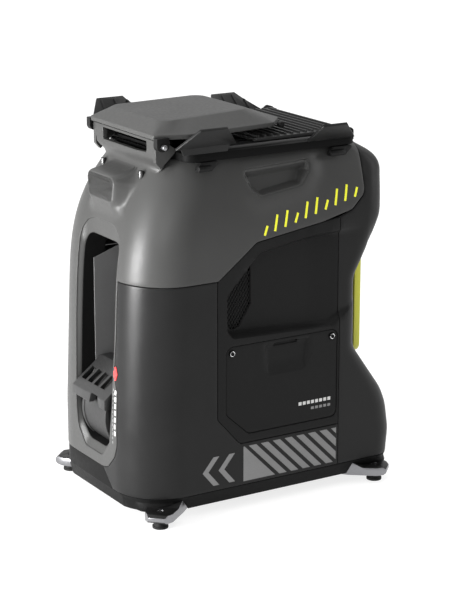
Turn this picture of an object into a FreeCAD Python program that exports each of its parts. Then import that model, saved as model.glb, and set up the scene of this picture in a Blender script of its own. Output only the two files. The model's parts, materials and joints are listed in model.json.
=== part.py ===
"""Tennis ball machine: a free-standing ball launcher with a folding hopper top.

Frame: millimetres, +Z up, origin on the ground under the middle of the machine.
The launch slot faces -Y and the battery faces +Y.
Each sub-part is written to parts/NODE.step.
"""
import FreeCAD, Part
import math
import os

V = FreeCAD.Vector

# ---- body ----
HALF_WIDTH = 115.0          # half width of the body below the shoulder
FRONT_RADIUS = 50.0         # rounding of the body's front corners
BASE_BOTTOM = 14.0          # underside of the base tray
BODY_BOTTOM = 30.0          # seam between the base tray and the shells
SHOULDER = 296.0            # height where the body starts to close in
RIM = 427.0                 # top rim of the body, under the hopper frame
WALL = 3.0                  # shell thickness
GAP = 0.35                  # half of a visible seam between two covers
PANEL_INNER = 95.5          # inner face of the thick side panels
PANEL_REAR = 98.0           # rear edge of the side panels

# ---- launch slot and launcher ----
SLOT_HALF = 44.0            # half width of the clear slot, for a 67 mm ball
SLOT_LOW = 62.0
SLOT_TOP = 344.0
LIP = 7.0                   # width of the slot's frame
CHEEK_IN = 44.0
CHEEK_OUT = 47.0
PIVOT = (-130.0, 113.0)     # y, z of the launcher's pitch axis
LAUNCH_ANGLE = 35.0         # launch direction above the horizon at rest
LOWER_WHEEL_R = 50.0
UPPER_WHEEL_R = 34.0
WHEEL_SPACING = 143.0       # distance between the two wheel axes
STAY = [(-176, 126), (-130, 93), (-120, 143), (-150, 163)]   # y, z of the arm that holds the hood
RUN = 0.05                  # radial running clearance of shafts

# ---- feed ----
FEED_Y = 2.0                # axis of the feed wheel
FEED_PITCH_R = 54.0         # circle of the ball pockets
FEED_R = 90.5
POCKET_R = 36.5
FEED_LOW = 298.0
FEED_HIGH = 338.0
CHUTE_Y = FEED_Y + FEED_PITCH_R
CHUTE_R = 36.5

# ---- hopper top ----
RAIL_LOW = 428.0
RAIL_TOP = 437.0
LID_AXIS = (-129.0, 446.0)  # y, z of the front lid's hinge
REAR_AXIS = (124.0, 441.0)  # y, z of the ribbed panel's hinge
FLAP_AXIS = (88.0, 436.0)   # x, z of the right flap's hinge

# ---- stance ----
FOOT_X = 115.0
FOOT_Y = 154.0


# ------------------------------------------------------------------ helpers
def to_3d(plane, level):
    """Give the function that lifts a 2-D point into one of the three planes."""
    if plane == "YZ":
        return lambda p: V(level, p[0], p[1])
    if plane == "XZ":
        return lambda p: V(p[0], level, p[1])
    return lambda p: V(p[0], p[1], level)


def outline(points, plane, level, radius=0.0):
    """Closed wire through points, each corner rounded by radius or its own third value."""
    lift = to_3d(plane, level)
    count = len(points)
    edges = []
    ends = []
    for i, point in enumerate(points):
        corner = V(point[0], point[1], 0)
        before = V(points[i - 1][0], points[i - 1][1], 0)
        after = V(points[(i + 1) % count][0], points[(i + 1) % count][1], 0)
        r = point[2] if len(point) > 2 else radius
        a = (before - corner).normalize()
        b = (after - corner).normalize()
        half = a.getAngle(b) / 2.0
        if r <= 0 or half > math.pi / 2 - 0.01:
            ends.append((corner, corner, None))
            continue
        reach = r / math.tan(half)
        middle = (a + b).normalize() * (r / math.sin(half))
        bulge = corner + middle - (a + b).normalize() * r
        ends.append((corner + a * reach, corner + b * reach, bulge))
    for i, (start, stop, bulge) in enumerate(ends):
        if bulge is not None:
            edges.append(Part.Arc(lift(start), lift(bulge), lift(stop)).toShape())
        following = ends[(i + 1) % count][0]
        if (following - stop).Length > 1e-6:
            edges.append(Part.LineSegment(lift(stop), lift(following)).toShape())
    return Part.Wire(edges)


def prism(points, plane, low, high, radius=0.0):
    """Solid with the given outline between two levels of the plane's normal."""
    face = Part.Face(outline(points, plane, low, radius))
    along = {"YZ": V(1, 0, 0), "XZ": V(0, 1, 0), "XY": V(0, 0, 1)}[plane]
    return face.extrude(along * (high - low))


def rectangle(a0, a1, b0, b1):
    return [(a0, b0), (a1, b0), (a1, b1), (a0, b1)]


def box(x0, x1, y0, y1, z0, z1):
    return Part.makeBox(x1 - x0, y1 - y0, z1 - z0, V(x0, y0, z0))


def rounded_box(x0, x1, y0, y1, z0, z1, radius, plane="XY"):
    if plane == "YZ":
        return prism(rectangle(y0, y1, z0, z1), plane, x0, x1, radius)
    if plane == "XZ":
        return prism(rectangle(x0, x1, z0, z1), plane, y0, y1, radius)
    return prism(rectangle(x0, x1, y0, y1), plane, z0, z1, radius)


def rod_x(x0, x1, y, z, r):
    return Part.makeCylinder(r, x1 - x0, V(x0, y, z), V(1, 0, 0))


def rod_y(y0, y1, x, z, r):
    return Part.makeCylinder(r, y1 - y0, V(x, y0, z), V(0, 1, 0))


def rod_z(z0, z1, x, y, r):
    return Part.makeCylinder(r, z1 - z0, V(x, y, z0), V(0, 0, 1))


def mirror_x(shape):
    return shape.mirror(V(0, 0, 0), V(1, 0, 0))


def fuse(shapes):
    joined = shapes[0]
    for shape in shapes[1:]:
        joined = joined.fuse(shape)
    return joined.removeSplitter()


def cut(shape, tools):
    for tool in tools:
        shape = shape.cut(tool)
    return shape


# ------------------------------------------------------------------ body form
def follow(points, z):
    """Straight-line value at height z through (z, value) points."""
    for (z0, a0), (z1, a1) in zip(points, points[1:]):
        if z <= z1:
            return a0 + (a1 - a0) * (max(z, z0) - z0) / (z1 - z0)
    return points[-1][1]


REAR_LINE = [(30, 184), (60, 187), (94, 182), (114, 174), (176, 127), (266, 127), (338, 170),
             (398, 176), (412, 166), (427, 136)]
SOFTEN = (-6, -3, 0, 3, 6)


def rear_y(z):
    """Rear face: boot, waist and upper block, with softened bends."""
    return sum(follow(REAR_LINE, z + step) for step in SOFTEN) / len(SOFTEN)


def front_y(z):
    closing = max(0.0, (z - 250.0) / (RIM - 250.0))
    return -180.0 + 6.0 * max(0.0, z - 110.0) / 140.0 + 45.0 * closing ** 2.9


def half_width(z):
    closing = max(0.0, (z - SHOULDER) / (RIM - SHOULDER))
    return HALF_WIDTH - 25.0 * closing ** 2.4


def rear_radius(z):
    return follow([(114, 28), (176, 20), (266, 20), (338, 30), (380, 30), (427, 24)], z)


def section(z, inset=0.0):
    """Rounded rectangle of the body at height z, moved inwards by inset."""
    half = half_width(z) - inset
    front = front_y(z) + inset
    rear = rear_y(z) - inset
    rf = FRONT_RADIUS - inset
    rr = rear_radius(z) - inset
    points = [(half, front, rf), (half, rear, rr), (-half, rear, rr), (-half, front, rf)]
    return outline(points, "XY", z)


LEVELS = [30, 48, 64, 84, 94, 104, 114, 124, 150, 168, 176, 184, 215, 258, 266, 274, 296, 314,
          330, 338, 346, 362, 376, 388, 398, 407, 414, 421, 427]
REACH = max(rear_y(z) for z in LEVELS)   # rearmost point; the launcher's hood reaches as far forward


def body_solid(inset, low, high):
    heights = [low] + [z for z in LEVELS if low + 1 < z < high - 1] + [high]
    return Part.makeLoft([section(z, inset) for z in heights], True, True)


def seam_region(low=-130.0, high=130.0, shift=0.0):
    """Everything above the seam of the upper shell, and in front of the rear shell."""
    points = [(-240, 287 + shift), (-74, 287 + shift, 10), (-21, 327 + shift, 12), (72, 340 + shift),
              (116 - shift, 350 + shift, 18), (136 - shift, 368 + shift, 14), (136 - shift, 460),
              (-240, 460)]
    return prism(points, "YZ", low, high)


def panel_region(low, high, shrink=0.0):
    """Outline of a side panel, from the seam down to the chamfered lower corner."""
    s = shrink
    points = [(-75 + s, 284 - s, 8), (-21, 324 - s, 12), (72, 337 - s), (PANEL_REAR - s, 343 - s),
              (PANEL_REAR - s, 83 + s), (-44, 83 + s, 8), (-75 + s, 118, 8)]
    return prism(points, "YZ", low, high)


HATCH = [(-63, 205, 10), (95, 205, 9), (95, 94, 9), (-32, 94, 8), (-63, 122, 8)]


def hatch_region(low, high, grow=0.0):
    points = [(y + math.copysign(grow, y - 15), z + math.copysign(grow, z - 150), r)
              for y, z, r in HATCH]
    return prism(points, "YZ", low, high)


def slot_outline(grow):
    half = SLOT_HALF + grow
    low = SLOT_LOW - grow
    top = SLOT_TOP + grow
    return [(-32 - grow / 2, low, 8), (32 + grow / 2, low, 8), (half, low + 20, 12), (half, top - 26, 16),
            (half - 22, top, 12), (22 - half, top, 12), (-half, top - 26, 16), (-half, low + 20, 12)]


def group(shapes):
    """Separate solids that share one node."""
    return Part.makeCompound([solid for shape in shapes for solid in shape.Solids])


def loft_between(first, second):
    return Part.makeLoft([first, second], True, True)


# ------------------------------------------------------------------ covers
def bumper_region(shift=0.0):
    """Raised front lip of the base: high on the left, stepping down on the right."""
    low = BODY_BOTTOM - 0.1 + shift
    points = [(-150, 0), (150, 0), (150, low), (46 + shift, low, 8), (22 + shift, 52 + shift, 6),
              (-150, 52 + shift)]
    return prism(points, "XZ", -215, -112)


def scoop_tool():
    """Dished recess of a side panel, deep at its front end and running out at the waist."""
    face = [(-62, 224, 8), (-54, 214, 8), (84, 209, 30), (140, 240), (140, 332), (52, 326, 10),
            (-17, 315, 8), (-62, 268, 8)]
    dish = [(101, -70), (99, -30), (104, 60), (115.5, 126), (150, 126), (150, -70)]
    return prism(face, "YZ", 80, 140).common(prism(dish, "XY", 190, 345))


def camera_pod_tool(grow=0.0):
    """Camera housing on the collar: it leans forwards and widens upwards."""
    g = grow
    side = [(-166 - g, 365), (-165 - g, 404 + g), (-136, 413 + g), (-120, 413 + g), (-120, 365)]
    front = [(-26 - g, 372 - g, 5), (26 + g, 372 - g, 5), (30 + g, 404 + g), (30 + g, 430),
             (-30 - g, 430), (-30 - g, 404 + g)]
    return prism(side, "YZ", -40, 40).common(prism(front, "XZ", -200, -100))


def covers():
    """Base tray, shells, side panels and everything cut out of the skin."""
    outer = body_solid(0.0, BODY_BOTTOM, RIM)
    inner = body_solid(WALL, BODY_BOTTOM - 1, RIM + 1)
    skin = outer.cut(inner)

    slot = prism(slot_outline(LIP), "XZ", -230, -110)
    slot_seat = prism(slot_outline(LIP + GAP), "XZ", -230, -110)
    opening = prism(slot_outline(0), "XZ", -230, -110)
    bevel = loft_between(outline(slot_outline(LIP), "XZ", -190), outline(slot_outline(-0.5), "XZ", -163))
    right_panel_seat = panel_region(80, 130)
    panel_seats = [right_panel_seat, mirror_x(right_panel_seat)]
    rear_zone = prism([(PANEL_REAR, 0), (PANEL_REAR, 343.6), (116, 350, 18), (136, 368, 14), (136, 460),
                       (230, 460), (230, 0)], "YZ", -130, 130)
    grip_line = [(-26, 413, 6), (-17, 386, 8), (-6, 379, 8), (46, 387, 10), (58, 402, 8), (60, 417, 6)]
    pocket = prism(grip_line, "YZ", 60, 130)
    pocket_seats = [pocket, mirror_x(pocket)]
    middle_y, middle_z = 17, 399
    hollow_line = [(middle_y + (y - middle_y) * 0.94, middle_z + (z - middle_z) * 0.87, r)
                   for y, z, r in grip_line]
    grip = outer.common(prism(grip_line, "YZ", 89.5, 130)).cut(prism(hollow_line, "YZ", 91.5, 130))
    put("carry_grips", group([grip, mirror_x(grip)]))

    upper = skin.common(seam_region(shift=GAP))
    upper = cut(upper, [slot_seat, camera_pod_tool(GAP)] + pocket_seats)
    lower = cut(skin, [seam_region(shift=-GAP), rear_zone, slot_seat, bumper_region(GAP)] + panel_seats)

    bay = rounded_box(-59.5, 59.5, 90, 240, 134, 306, 4, "XZ")
    behind_panel = rear_zone.common(box(-130, 130, PANEL_REAR + GAP, 230, 0, 460))
    thick_zone = [box(x, x + 30, PANEL_REAR + GAP, 140, 190, 352) for x in (-130, 100)]
    rear = skin.common(behind_panel)
    for zone in thick_zone:
        rear = rear.fuse(outer.common(behind_panel).common(zone))
    rear = cut(rear.removeSplitter(),
               [bay, rod_y(150, 200, 0, 372, 12.2), rod_x(-130, 130, 130, 370, 2.6),
                rounded_box(-16, 16, 150, 230, 58, 78, 3, "XZ")])
    scoop = scoop_tool()
    rear = cut(rear, [scoop, mirror_x(scoop)])

    slab = outer.common(panel_region(PANEL_INNER, 130, GAP))
    grille_seat = prism([(-54, 272, 3), (-25, 307, 3), (-21, 305, 2), (-20, 250, 3), (-36, 224, 3),
                         (-47, 221, 4), (-54, 228, 3)], "YZ", 80, 130)
    hollow = prism([(-60, 90), (90, 90), (90, 200), (-60, 200)], "YZ", 80, 108)
    module_bay = hatch_region(80, 130, 0.4)
    panel = cut(slab, [scoop, grille_seat, hollow, module_bay])

    ledge = hatch_region(106.5, 110.5, -0.2).cut(rounded_box(100, 120, -24, 60, 110, 190, 6, "YZ"))
    put("right_side_panel", panel)
    put("left_side_panel", mirror_x(panel))
    put("module_bay_frames", group([ledge, mirror_x(ledge)]))
    put("upper_shell", upper)
    put("lower_shell", lower)
    put("rear_shell", rear)

    depth = prism([(-215, 0), (-164, 0), (-164, 322), (-148, 336), (-148, 460), (-215, 460)], "YZ", -60, 60)
    bezel = outer.common(slot).common(depth).cut(opening).cut(bevel)
    put("slot_bezel", bezel)
    liner = prism(slot_outline(2.5), "XZ", -163.9, -150).cut(prism(slot_outline(0.0), "XZ", -170, -140))
    put("slot_liner", max(liner.cut(bezel).Solids, key=lambda solid: solid.Volume))
    grille = honeycomb(prism([(-53.6, 271.6, 3), (-25.2, 306.4, 3), (-21.4, 304.6, 2), (-20.4, 250, 3),
                              (-36, 224.6, 3), (-47, 221.6, 4), (-53.6, 228, 3)], "YZ", 94.5, 97.5))
    put("vent_grilles", group([grille, mirror_x(grille)]))
    return outer


def honeycomb(plate):
    """Perforate a plate in the YZ plane with staggered hexagonal holes."""
    holes = []
    pitch = 6.4
    row_step = pitch * math.sqrt(3) / 2
    for row in range(16):
        for column in range(6):
            y = -51 + column * pitch + (row % 2) * pitch / 2
            z = 224 + row * row_step
            hexagon = [(y + 2.7 * math.cos(math.radians(30 + 60 * k)),
                        z + 2.7 * math.sin(math.radians(30 + 60 * k))) for k in range(6)]
            holes.append(prism(hexagon, "YZ", 90, 100))
    return plate.cut(Part.makeCompound(holes))


def base(legs):
    """Tray with a chamfered underside, its floor, and the raised front bumper."""
    def plan(z, inset):
        half = HALF_WIDTH - inset
        front = front_y(BODY_BOTTOM) + inset
        rear = rear_y(BODY_BOTTOM) - inset
        return outline([(half, front, 50 - inset), (half, rear, 28 - inset), (-half, rear, 28 - inset),
                        (-half, front, 50 - inset)], "XY", z)
    lower = Part.makeLoft([plan(BASE_BOTTOM, 9.0), plan(BODY_BOTTOM - GAP, 0.3)], True, True)
    hollow = Part.makeLoft([plan(BASE_BOTTOM + 4, 12.0), plan(BODY_BOTTOM + 1, 5.0)], True, True)
    tray = lower.cut(hollow)
    outer = body_solid(0.2, BODY_BOTTOM - GAP, 60)
    inner = body_solid(WALL, BODY_BOTTOM - 2, 62)
    lip = outer.cut(inner).common(bumper_region(0.0))
    tray = tray.fuse(lip).removeSplitter()
    put("base_tray", cut(tray, legs))


# ------------------------------------------------------------------ stance
def leg(sign_x, sign_y):
    """Diagonal leg plate with a chamfered tip, rising under the base tray."""
    side = [(-58, 12, 0), (-30, 10, 2), (14, 10, 2), (17, 12.5, 1.5), (17, 17, 2), (13, 20, 2), (-12, 20, 6),
            (-24, 26, 6), (-58, 26)]
    plan = [(-60, -24), (-26, -21), (6, -17), (17, -10), (17, 10), (6, 17), (-26, 21), (-60, 24)]
    shape = prism(side, "YZ", -30, 30)
    shape = shape.rotate(V(0, 0, 0), V(0, 0, 1), -90)
    shape = shape.common(prism(plan, "XY", 0, 40))
    shape = shape.cut(rod_z(0, 40, 0, 0, 4.0 + RUN))
    shape.rotate(V(0, 0, 0), V(0, 0, 1), math.degrees(math.atan2(sign_y, sign_x)))
    shape.translate(V(sign_x * FOOT_X, sign_y * FOOT_Y, 0))
    return shape


def foot(x, y):
    pad = rod_z(0, 3.0, x, y, 9.5)
    dome = Part.makeCone(8.6, 6.4, 5.0, V(x, y, 3.0))
    collar = rod_z(8.0, 9.7, x, y, 6.4)
    stud = rod_z(9.7, 19.0, x, y, 4.0)
    return fuse([pad, dome, collar, stud])


def stance():
    legs = []
    for name_y, sign_y in (("front", -1), ("rear", 1)):
        for name_x, sign_x in (("left", -1), ("right", 1)):
            shape = leg(sign_x, sign_y)
            legs.append(shape)
            put("foot_%s_%s" % (name_y, name_x), foot(sign_x * FOOT_X, sign_y * FOOT_Y))
        put("legs_%s" % name_y, group(legs[-2:]))
    return legs


# ------------------------------------------------------------------ launcher
def launch_axes():
    """Unit vectors (y, z) along the launch direction and square to it, upwards."""
    angle = math.radians(LAUNCH_ANGLE)
    return (-math.cos(angle), math.sin(angle)), (math.sin(angle), math.cos(angle))


def upper_axis():
    along, across = launch_axes()
    return PIVOT[0] + across[0] * WHEEL_SPACING, PIVOT[1] + across[1] * WHEEL_SPACING


def launcher():
    py, pz = PIVOT
    uy, uz = upper_axis()
    plates = []
    for x in (-41.0, 38.0):
        disc = rod_x(x, x + 3, py, pz, 26)
        top = rod_x(x, x + 3, uy, uz, 18)
        arm_line = [(py - 20, pz + 14), (py + 22, pz - 12), (uy + 16, uz - 9), (uy - 14, uz + 10)]
        arm = prism(arm_line, "YZ", x, x + 3)
        stay = prism(STAY, "YZ", x, x + 3)
        bores = [rod_x(x - 1, x + 4, py, pz, 6), rod_x(x - 1, x + 4, uy, uz, 5)]
        plates.append(cut(fuse([disc, top, arm, stay]), bores))
    put("launcher_side_plates", group(plates))
    hood_line = [(-REACH, 128, 1.5), (-REACH, 140, 2), (-178, 147, 3), (-147, 171, 3), (-133, 171, 3),
                 (-127, 166)]
    hood_back = [(-127, 164.5), (-146, 163.5), (-160, 156), (-170, 147), (-176, 140), (-179, 128)]
    hood = prism(hood_line + hood_back, "YZ", -40.5, 40.5)
    notch = prism([(-2, 120), (6, 141, 2), (22, 141, 2), (30, 120)], "XZ", -200, -165)
    slots = [box(x, x + 11, -190, -120, 100, 200) for x in (-36, -20, -4, 12)]
    windows = prism([(-172, 143), (-158, 155), (-162, 162), (-178, 149)], "YZ", -60, 60)
    hood = cut(hood, [notch] + [windows.common(slot) for slot in slots])
    for x in (-41.0, 38.0):
        hood = hood.cut(prism(STAY, "YZ", x, x + 3))
    put("launcher_hood", hood)
    put("launcher_axles", group([rod_x(-52, 52, py, pz, 6), rod_x(-41, 41, uy, uz, 5)]))
    put("lower_wheel_motor", rod_x(-31, 31, py, pz, 22).cut(rod_x(-32, 32, py, pz, 6)))
    put("upper_wheel_motor", rod_x(-17, 17, uy, uz, 14).cut(rod_x(-18, 18, uy, uz, 5)))
    put("lower_throw_wheel", throw_wheel(py, pz, LOWER_WHEEL_R, 22 + RUN, 30))
    put("upper_throw_wheel", throw_wheel(uy, uz, UPPER_WHEEL_R, 14 + RUN, 15))


def throw_wheel(y, z, radius, bore, half):
    """Wheel with a raised rim on each side of a shallow concave tread."""
    body = rod_x(-half, half, y, z, radius)
    tread = rod_x(-half + 5, half - 5, y, z, radius + 1)
    tread = tread.cut(rod_x(-half + 5, half - 5, y, z, radius - 1.6))
    dish = rod_x(half - 4, half + 1, y, z, radius - 8).cut(rod_x(half - 5, half + 2, y, z, bore + 5))
    return cut(body, [tread, dish, mirror_x(dish), rod_x(-half - 1, half + 1, y, z, bore)])


def cheeks_and_servo():
    """Grey cheeks behind the slot that carry the launcher, and its pitch servo."""
    py, pz = PIVOT
    cheeks = []
    for x in (-CHEEK_OUT, CHEEK_IN):
        plate = prism([(-149.6, 60), (-149.6, 330), (-138, 345), (-112, 345), (-112, 60)], "YZ", x, x + 3)
        cheeks.append(plate.cut(rod_x(x - 1, x + 4, py, pz, 6 + RUN)))
    put("launcher_cheeks", group(cheeks))
    servo = rounded_box(-86, -52.5, py - 20, py + 28, pz - 19, pz + 19, 3, "YZ")
    lugs = box(-52.5, -47, py + 22, py + 28, pz - 19, pz + 19)
    put("pitch_servo", fuse([servo, lugs]))


def chassis():
    """Floor plate with posts that carry the cheeks, the feed deck and the chute."""
    floor = rounded_box(-96, 96, -148, 150, BASE_BOTTOM + 16, BASE_BOTTOM + 20, 20)
    plinth = [box(x0, x1, -148, -96, 34, 60) for x0, x1 in ((-62, -CHEEK_IN), (CHEEK_IN, 62))]
    posts = [rounded_box(x, x + 8, y, y + 8, 34, 290, 1.5) for x in (-90, 82) for y in (-88, 88)]
    spacer = [box(x, x + 8, y, y + 8, 18, 30) for x in (-60, 52) for y in (-100, 92)]
    put("chassis", fuse([floor] + plinth + posts + spacer))


# ------------------------------------------------------------------ feed
def feed():
    deck = rounded_box(-91, 91, -96, 100, 290, 294, 12)
    deck = cut(deck, [rod_z(280, 300, 0, CHUTE_Y, CHUTE_R), rod_z(280, 300, 0, FEED_Y, 5.2)])
    ring = rod_z(294, 340, 0, FEED_Y, FEED_R + 3.5).cut(rod_z(290, 345, 0, FEED_Y, FEED_R + 1.2))
    rim = rod_z(290, 294, 0, FEED_Y, FEED_R + 3.5)
    rim = cut(rim, [rod_z(280, 300, 0, CHUTE_Y, CHUTE_R), rod_z(280, 300, 0, FEED_Y, 5.2)])
    put("feed_deck", fuse([deck, rim, ring]))

    wheel = rod_z(FEED_LOW, FEED_HIGH, 0, FEED_Y, FEED_R)
    pockets = []
    for k in range(4):
        angle = math.radians(90 + 90 * k)
        cx = FEED_PITCH_R * math.cos(angle)
        cy = FEED_Y + FEED_PITCH_R * math.sin(angle)
        pockets.append(rod_z(FEED_LOW - 1, FEED_HIGH + 1, cx, cy, POCKET_R))
        mouth = box(FEED_PITCH_R, 130, -POCKET_R, POCKET_R, FEED_LOW - 1, FEED_HIGH + 1)
        mouth.rotate(V(0, 0, 0), V(0, 0, 1), 90 + 90 * k)
        mouth.translate(V(0, FEED_Y, 0))
        pockets.append(mouth)
    cone = Part.makeCone(17, 4, 16, V(0, FEED_Y, FEED_HIGH))
    put("feed_wheel", fuse([cut(wheel, pockets), cone]).cut(rod_z(290, 320, 0, FEED_Y, 5)))
    put("feed_motor_shaft", rod_z(286, 320, 0, FEED_Y, 5))
    put("feed_motor", rod_z(256, 290, 0, FEED_Y, 15).cut(rod_z(285.9, 300, 0, FEED_Y, 5 + RUN)))

    tube = rod_z(104, 290, 0, CHUTE_Y, CHUTE_R + 2.5).cut(rod_z(100, 300, 0, CHUTE_Y, CHUTE_R))
    window = box(-CHUTE_R, CHUTE_R, 0, CHUTE_Y, 112, 190)
    sill = prism([(4, 92), (CHUTE_Y + 36, 128), (CHUTE_Y + 36, 104), (CHUTE_Y, 92)], "YZ", -20, 20)
    sill = sill.common(rod_z(80, 140, 0, CHUTE_Y, CHUTE_R + 2.5).fuse(box(-20, 20, 8, CHUTE_Y, 80, 140)))
    put("ball_chute", fuse([tube.cut(window), sill]))


def hopper_bowl():
    """Funnel from the rim of the body down to the feed wheel."""
    def ring(z, half, front, rear, radius):
        return outline([(half, front, radius), (half, rear, radius), (-half, rear, radius),
                        (-half, front, radius)], "XY", z)
    outer = loft_between(ring(341.5, 70, -70, 76, 60), ring(RAIL_LOW - 1, 82.5, -104, 112, 30))
    inner = loft_between(ring(340.5, 67.5, -67.5, 73.5, 58), ring(RAIL_LOW, 80, -101.5, 109.5, 28))
    put("hopper_bowl", outer.cut(inner))


# ------------------------------------------------------------------ hopper top
def hopper_frame():
    ring = rounded_box(-103, 103, -107, 128, RAIL_LOW, RAIL_TOP, 14)
    ring = ring.cut(rounded_box(-92, 92, -96, 117, RAIL_LOW - 1, RAIL_TOP + 1, 3))
    shelf = rounded_box(-100, 100, -104, 125, RAIL_LOW - 1, RAIL_LOW + 1.5, 12)
    shelf = shelf.cut(rounded_box(-84, 84, -92, 113, RAIL_LOW - 2, RAIL_LOW + 3, 6))
    ears = []
    for x in (83.0, -92.0):
        ear = prism([(116, RAIL_TOP - 6), (130, RAIL_TOP - 6), (130, 443, 4), (124, 447, 5), (118, 443, 4)],
                    "YZ", x, x + 9)
        ears.append(ear)
    frame = fuse([ring, shelf] + ears)
    frame = frame.cut(rod_x(-100, 100, REAR_AXIS[0], REAR_AXIS[1], 2.5))
    seats = [rod_y(y0, y1, sx * FLAP_AXIS[0], FLAP_AXIS[1], 2.0)
             for sx in (-1, 1) for y0, y1 in ((-104, -90), (112, 127))]
    frame = cut(frame, seats)
    put("hopper_frame", frame)
    pins = [rod_x(x, x + 13, REAR_AXIS[0], REAR_AXIS[1], 2.5) for x in (79.0, -92.0)]
    pins += [rod_y(-103, 124, sx * FLAP_AXIS[0], FLAP_AXIS[1], 2.0) for sx in (-1, 1)]
    pins += [rod_x(x, x + 21, LID_AXIS[0], LID_AXIS[1], 3) for x in (70.0, -91.0)]
    put("hopper_hinge_pins", group(pins))


def wing(y0, y1, y2, y3, z0, z1, x0, x1):
    """Plate that leans outwards: bottom from y0 to y3 at z0, top from y1 to y2 at z1."""
    def trapezoid(dx, dz):
        points = [V(x0 + dx, y0, z0 + dz), V(x0 + dx, y3, z0 + dz), V(x1 + dx, y2, z1 + dz),
                  V(x1 + dx, y1, z1 + dz)]
        return Part.makePolygon(points + [points[0]])
    slope = math.hypot(x1 - x0, z1 - z0)
    normal = ((z1 - z0) / slope, -(x1 - x0) / slope)
    thick = 3.2
    plate = loft_between(trapezoid(0, 0), trapezoid(normal[0] * thick, normal[1] * thick))
    ribs = []
    for share in (0.28, 0.5, 0.72):
        y = y0 + (y3 - y0) * share
        corners = [V(x0 + 4, y, z0 + 2), V(x1 - 2, y, z1 - 3), V(x1 - 4, y, z1 - 1.5), V(x0 + 2, y, z0 + 4)]
        face = Part.Face(Part.makePolygon(corners + [corners[0]]))
        ribs.append(face.extrude(V(0, 1.6, 0)))
    return fuse([plate] + ribs)


def wings():
    front = wing(-122, -103, -67, -41, 446, 470, 100, 124)
    front_line = [(-112, RAIL_TOP - 0.5), (-54, RAIL_TOP - 0.5), (-50, 447), (-116, 447)]
    front_post = prism(front_line, "YZ", 100, 103)
    rear = wing(56, 62, 96, 123, 439, 460, 102, 126)
    rear_post = prism([(58, RAIL_TOP), (120, RAIL_TOP), (121, 441), (58, 441)], "YZ", 101, 103)
    front = front.fuse(front_post.common(box(90, 110, -125, -30, RAIL_TOP, 460))).removeSplitter()
    rear = rear.fuse(rear_post).removeSplitter()
    put("flap_stops_front", group([front, mirror_x(front)]))
    put("flap_stops_rear", group([rear, mirror_x(rear)]))


def brackets():
    shapes = []
    for y0, y1 in ((-96, -64), (86, 122)):
        top = RAIL_LOW - 1
        arm = prism([(y0, 416, 2), (y1 - 12, 416, 2), (y1, top, 2), (y0 + 6, top)], "YZ", 97.5, 104)
        shapes.append(arm.fuse(rod_y(y0 + 2, y1 - 14, 104, 420, 3.6)).removeSplitter())
    put("frame_brackets", group(shapes + [mirror_x(shape) for shape in shapes]))


def yoke(outer):
    """Front bridge: a windowed plate on the collar that carries the lid's hinge."""
    plate = prism([(-62, 408), (62, 408), (66, 426, 8), (74, 446, 4), (74, 451), (-74, 451), (-74, 446, 4),
                   (-66, 426, 8)], "XZ", -132, -127)
    window = prism([(-52, 435, 2), (52, 435, 2), (55, 448, 2), (-55, 448, 2)], "XZ", -140, -120)
    foot_line = [(-139, 404), (-127, 404), (-127, 416), (-132, 416)]
    foot_bar = prism(foot_line, "YZ", -58, 58)
    ears = []
    for x in (70.0, -76.0):
        ear = [(-134, 428), (-127, 420), (-110, 437), (-110, 441), (-124, 451), (-134, 451)]
        ears.append(prism(ear, "YZ", x, x + 6))
    shape = cut(fuse([plate, foot_bar] + ears), [window, rod_x(-100, 100, LID_AXIS[0], LID_AXIS[1], 3)])
    screws = [rod_z(404, 413, x, -136, 3.2) for x in (-46, 46)]
    put("yoke_screws", group(screws))
    put("front_yoke", cut(shape, [outer, camera_pod_tool(0.3)] + screws))
    NODES["upper_shell"] = cut(NODES["upper_shell"], screws)


def lid():
    """Front lid: a raised plateau over a sloping rim, hollow below, with two hinge lugs."""
    rim = [(-77, -137, 3), (77, -137, 3), (92, -98, 5), (76, 26, 4), (50, 49, 4), (-50, 49, 4), (-76, 26, 4),
           (-92, -98, 5)]
    crown = [(-54, -119, 6), (54, -119, 6), (66, -106, 8), (56, 3, 10), (40, 5, 4), (-40, 5, 4), (-56, 3, 10),
             (-66, -106, 8)]
    rim_low = [(x, y, 3) for x, y, r in rim]

    def hexagon(points, z, inset):
        middle_y = -45.0
        scaled = [(x * (1 - inset / 80.0), middle_y + (y - middle_y) * (1 - inset / 90.0), r)
                  for x, y, r in points]
        return outline(scaled, "XY", z)
    band = loft_between(hexagon(rim_low, 454, 0), hexagon(rim, 459, 0))
    top = loft_between(hexagon(rim, 459, 0), hexagon(crown, 474, 0))
    solid = band.fuse(top).removeSplitter()
    inner = loft_between(hexagon(rim, 450, 2.5), hexagon(rim, 457.5, 2.5))
    inner_top = loft_between(hexagon(rim, 457.4, 2.5), hexagon(crown, 471.5, 2.0))
    solid = cut(solid, [inner, inner_top])
    lugs = []
    axis_y = LID_AXIS[0]
    for x in (77.0, -86.0):
        lug = [(axis_y - 8, 440, 7), (axis_y + 8, 440, 7), (axis_y + 8, 456), (axis_y - 8, 456)]
        lugs.append(prism(lug, "YZ", x, x + 9))
    bores = [rod_x(x - 0.5, x + 9.5, axis_y, LID_AXIS[1], 3 + RUN) for x in (77.0, -86.0)]
    put("front_lid", cut(fuse([solid] + lugs), bores))
    put("lid_rests", group([rod_x(x, x + 7, 37, 455, 3.5) for x in (-78, 71)]))


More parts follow.
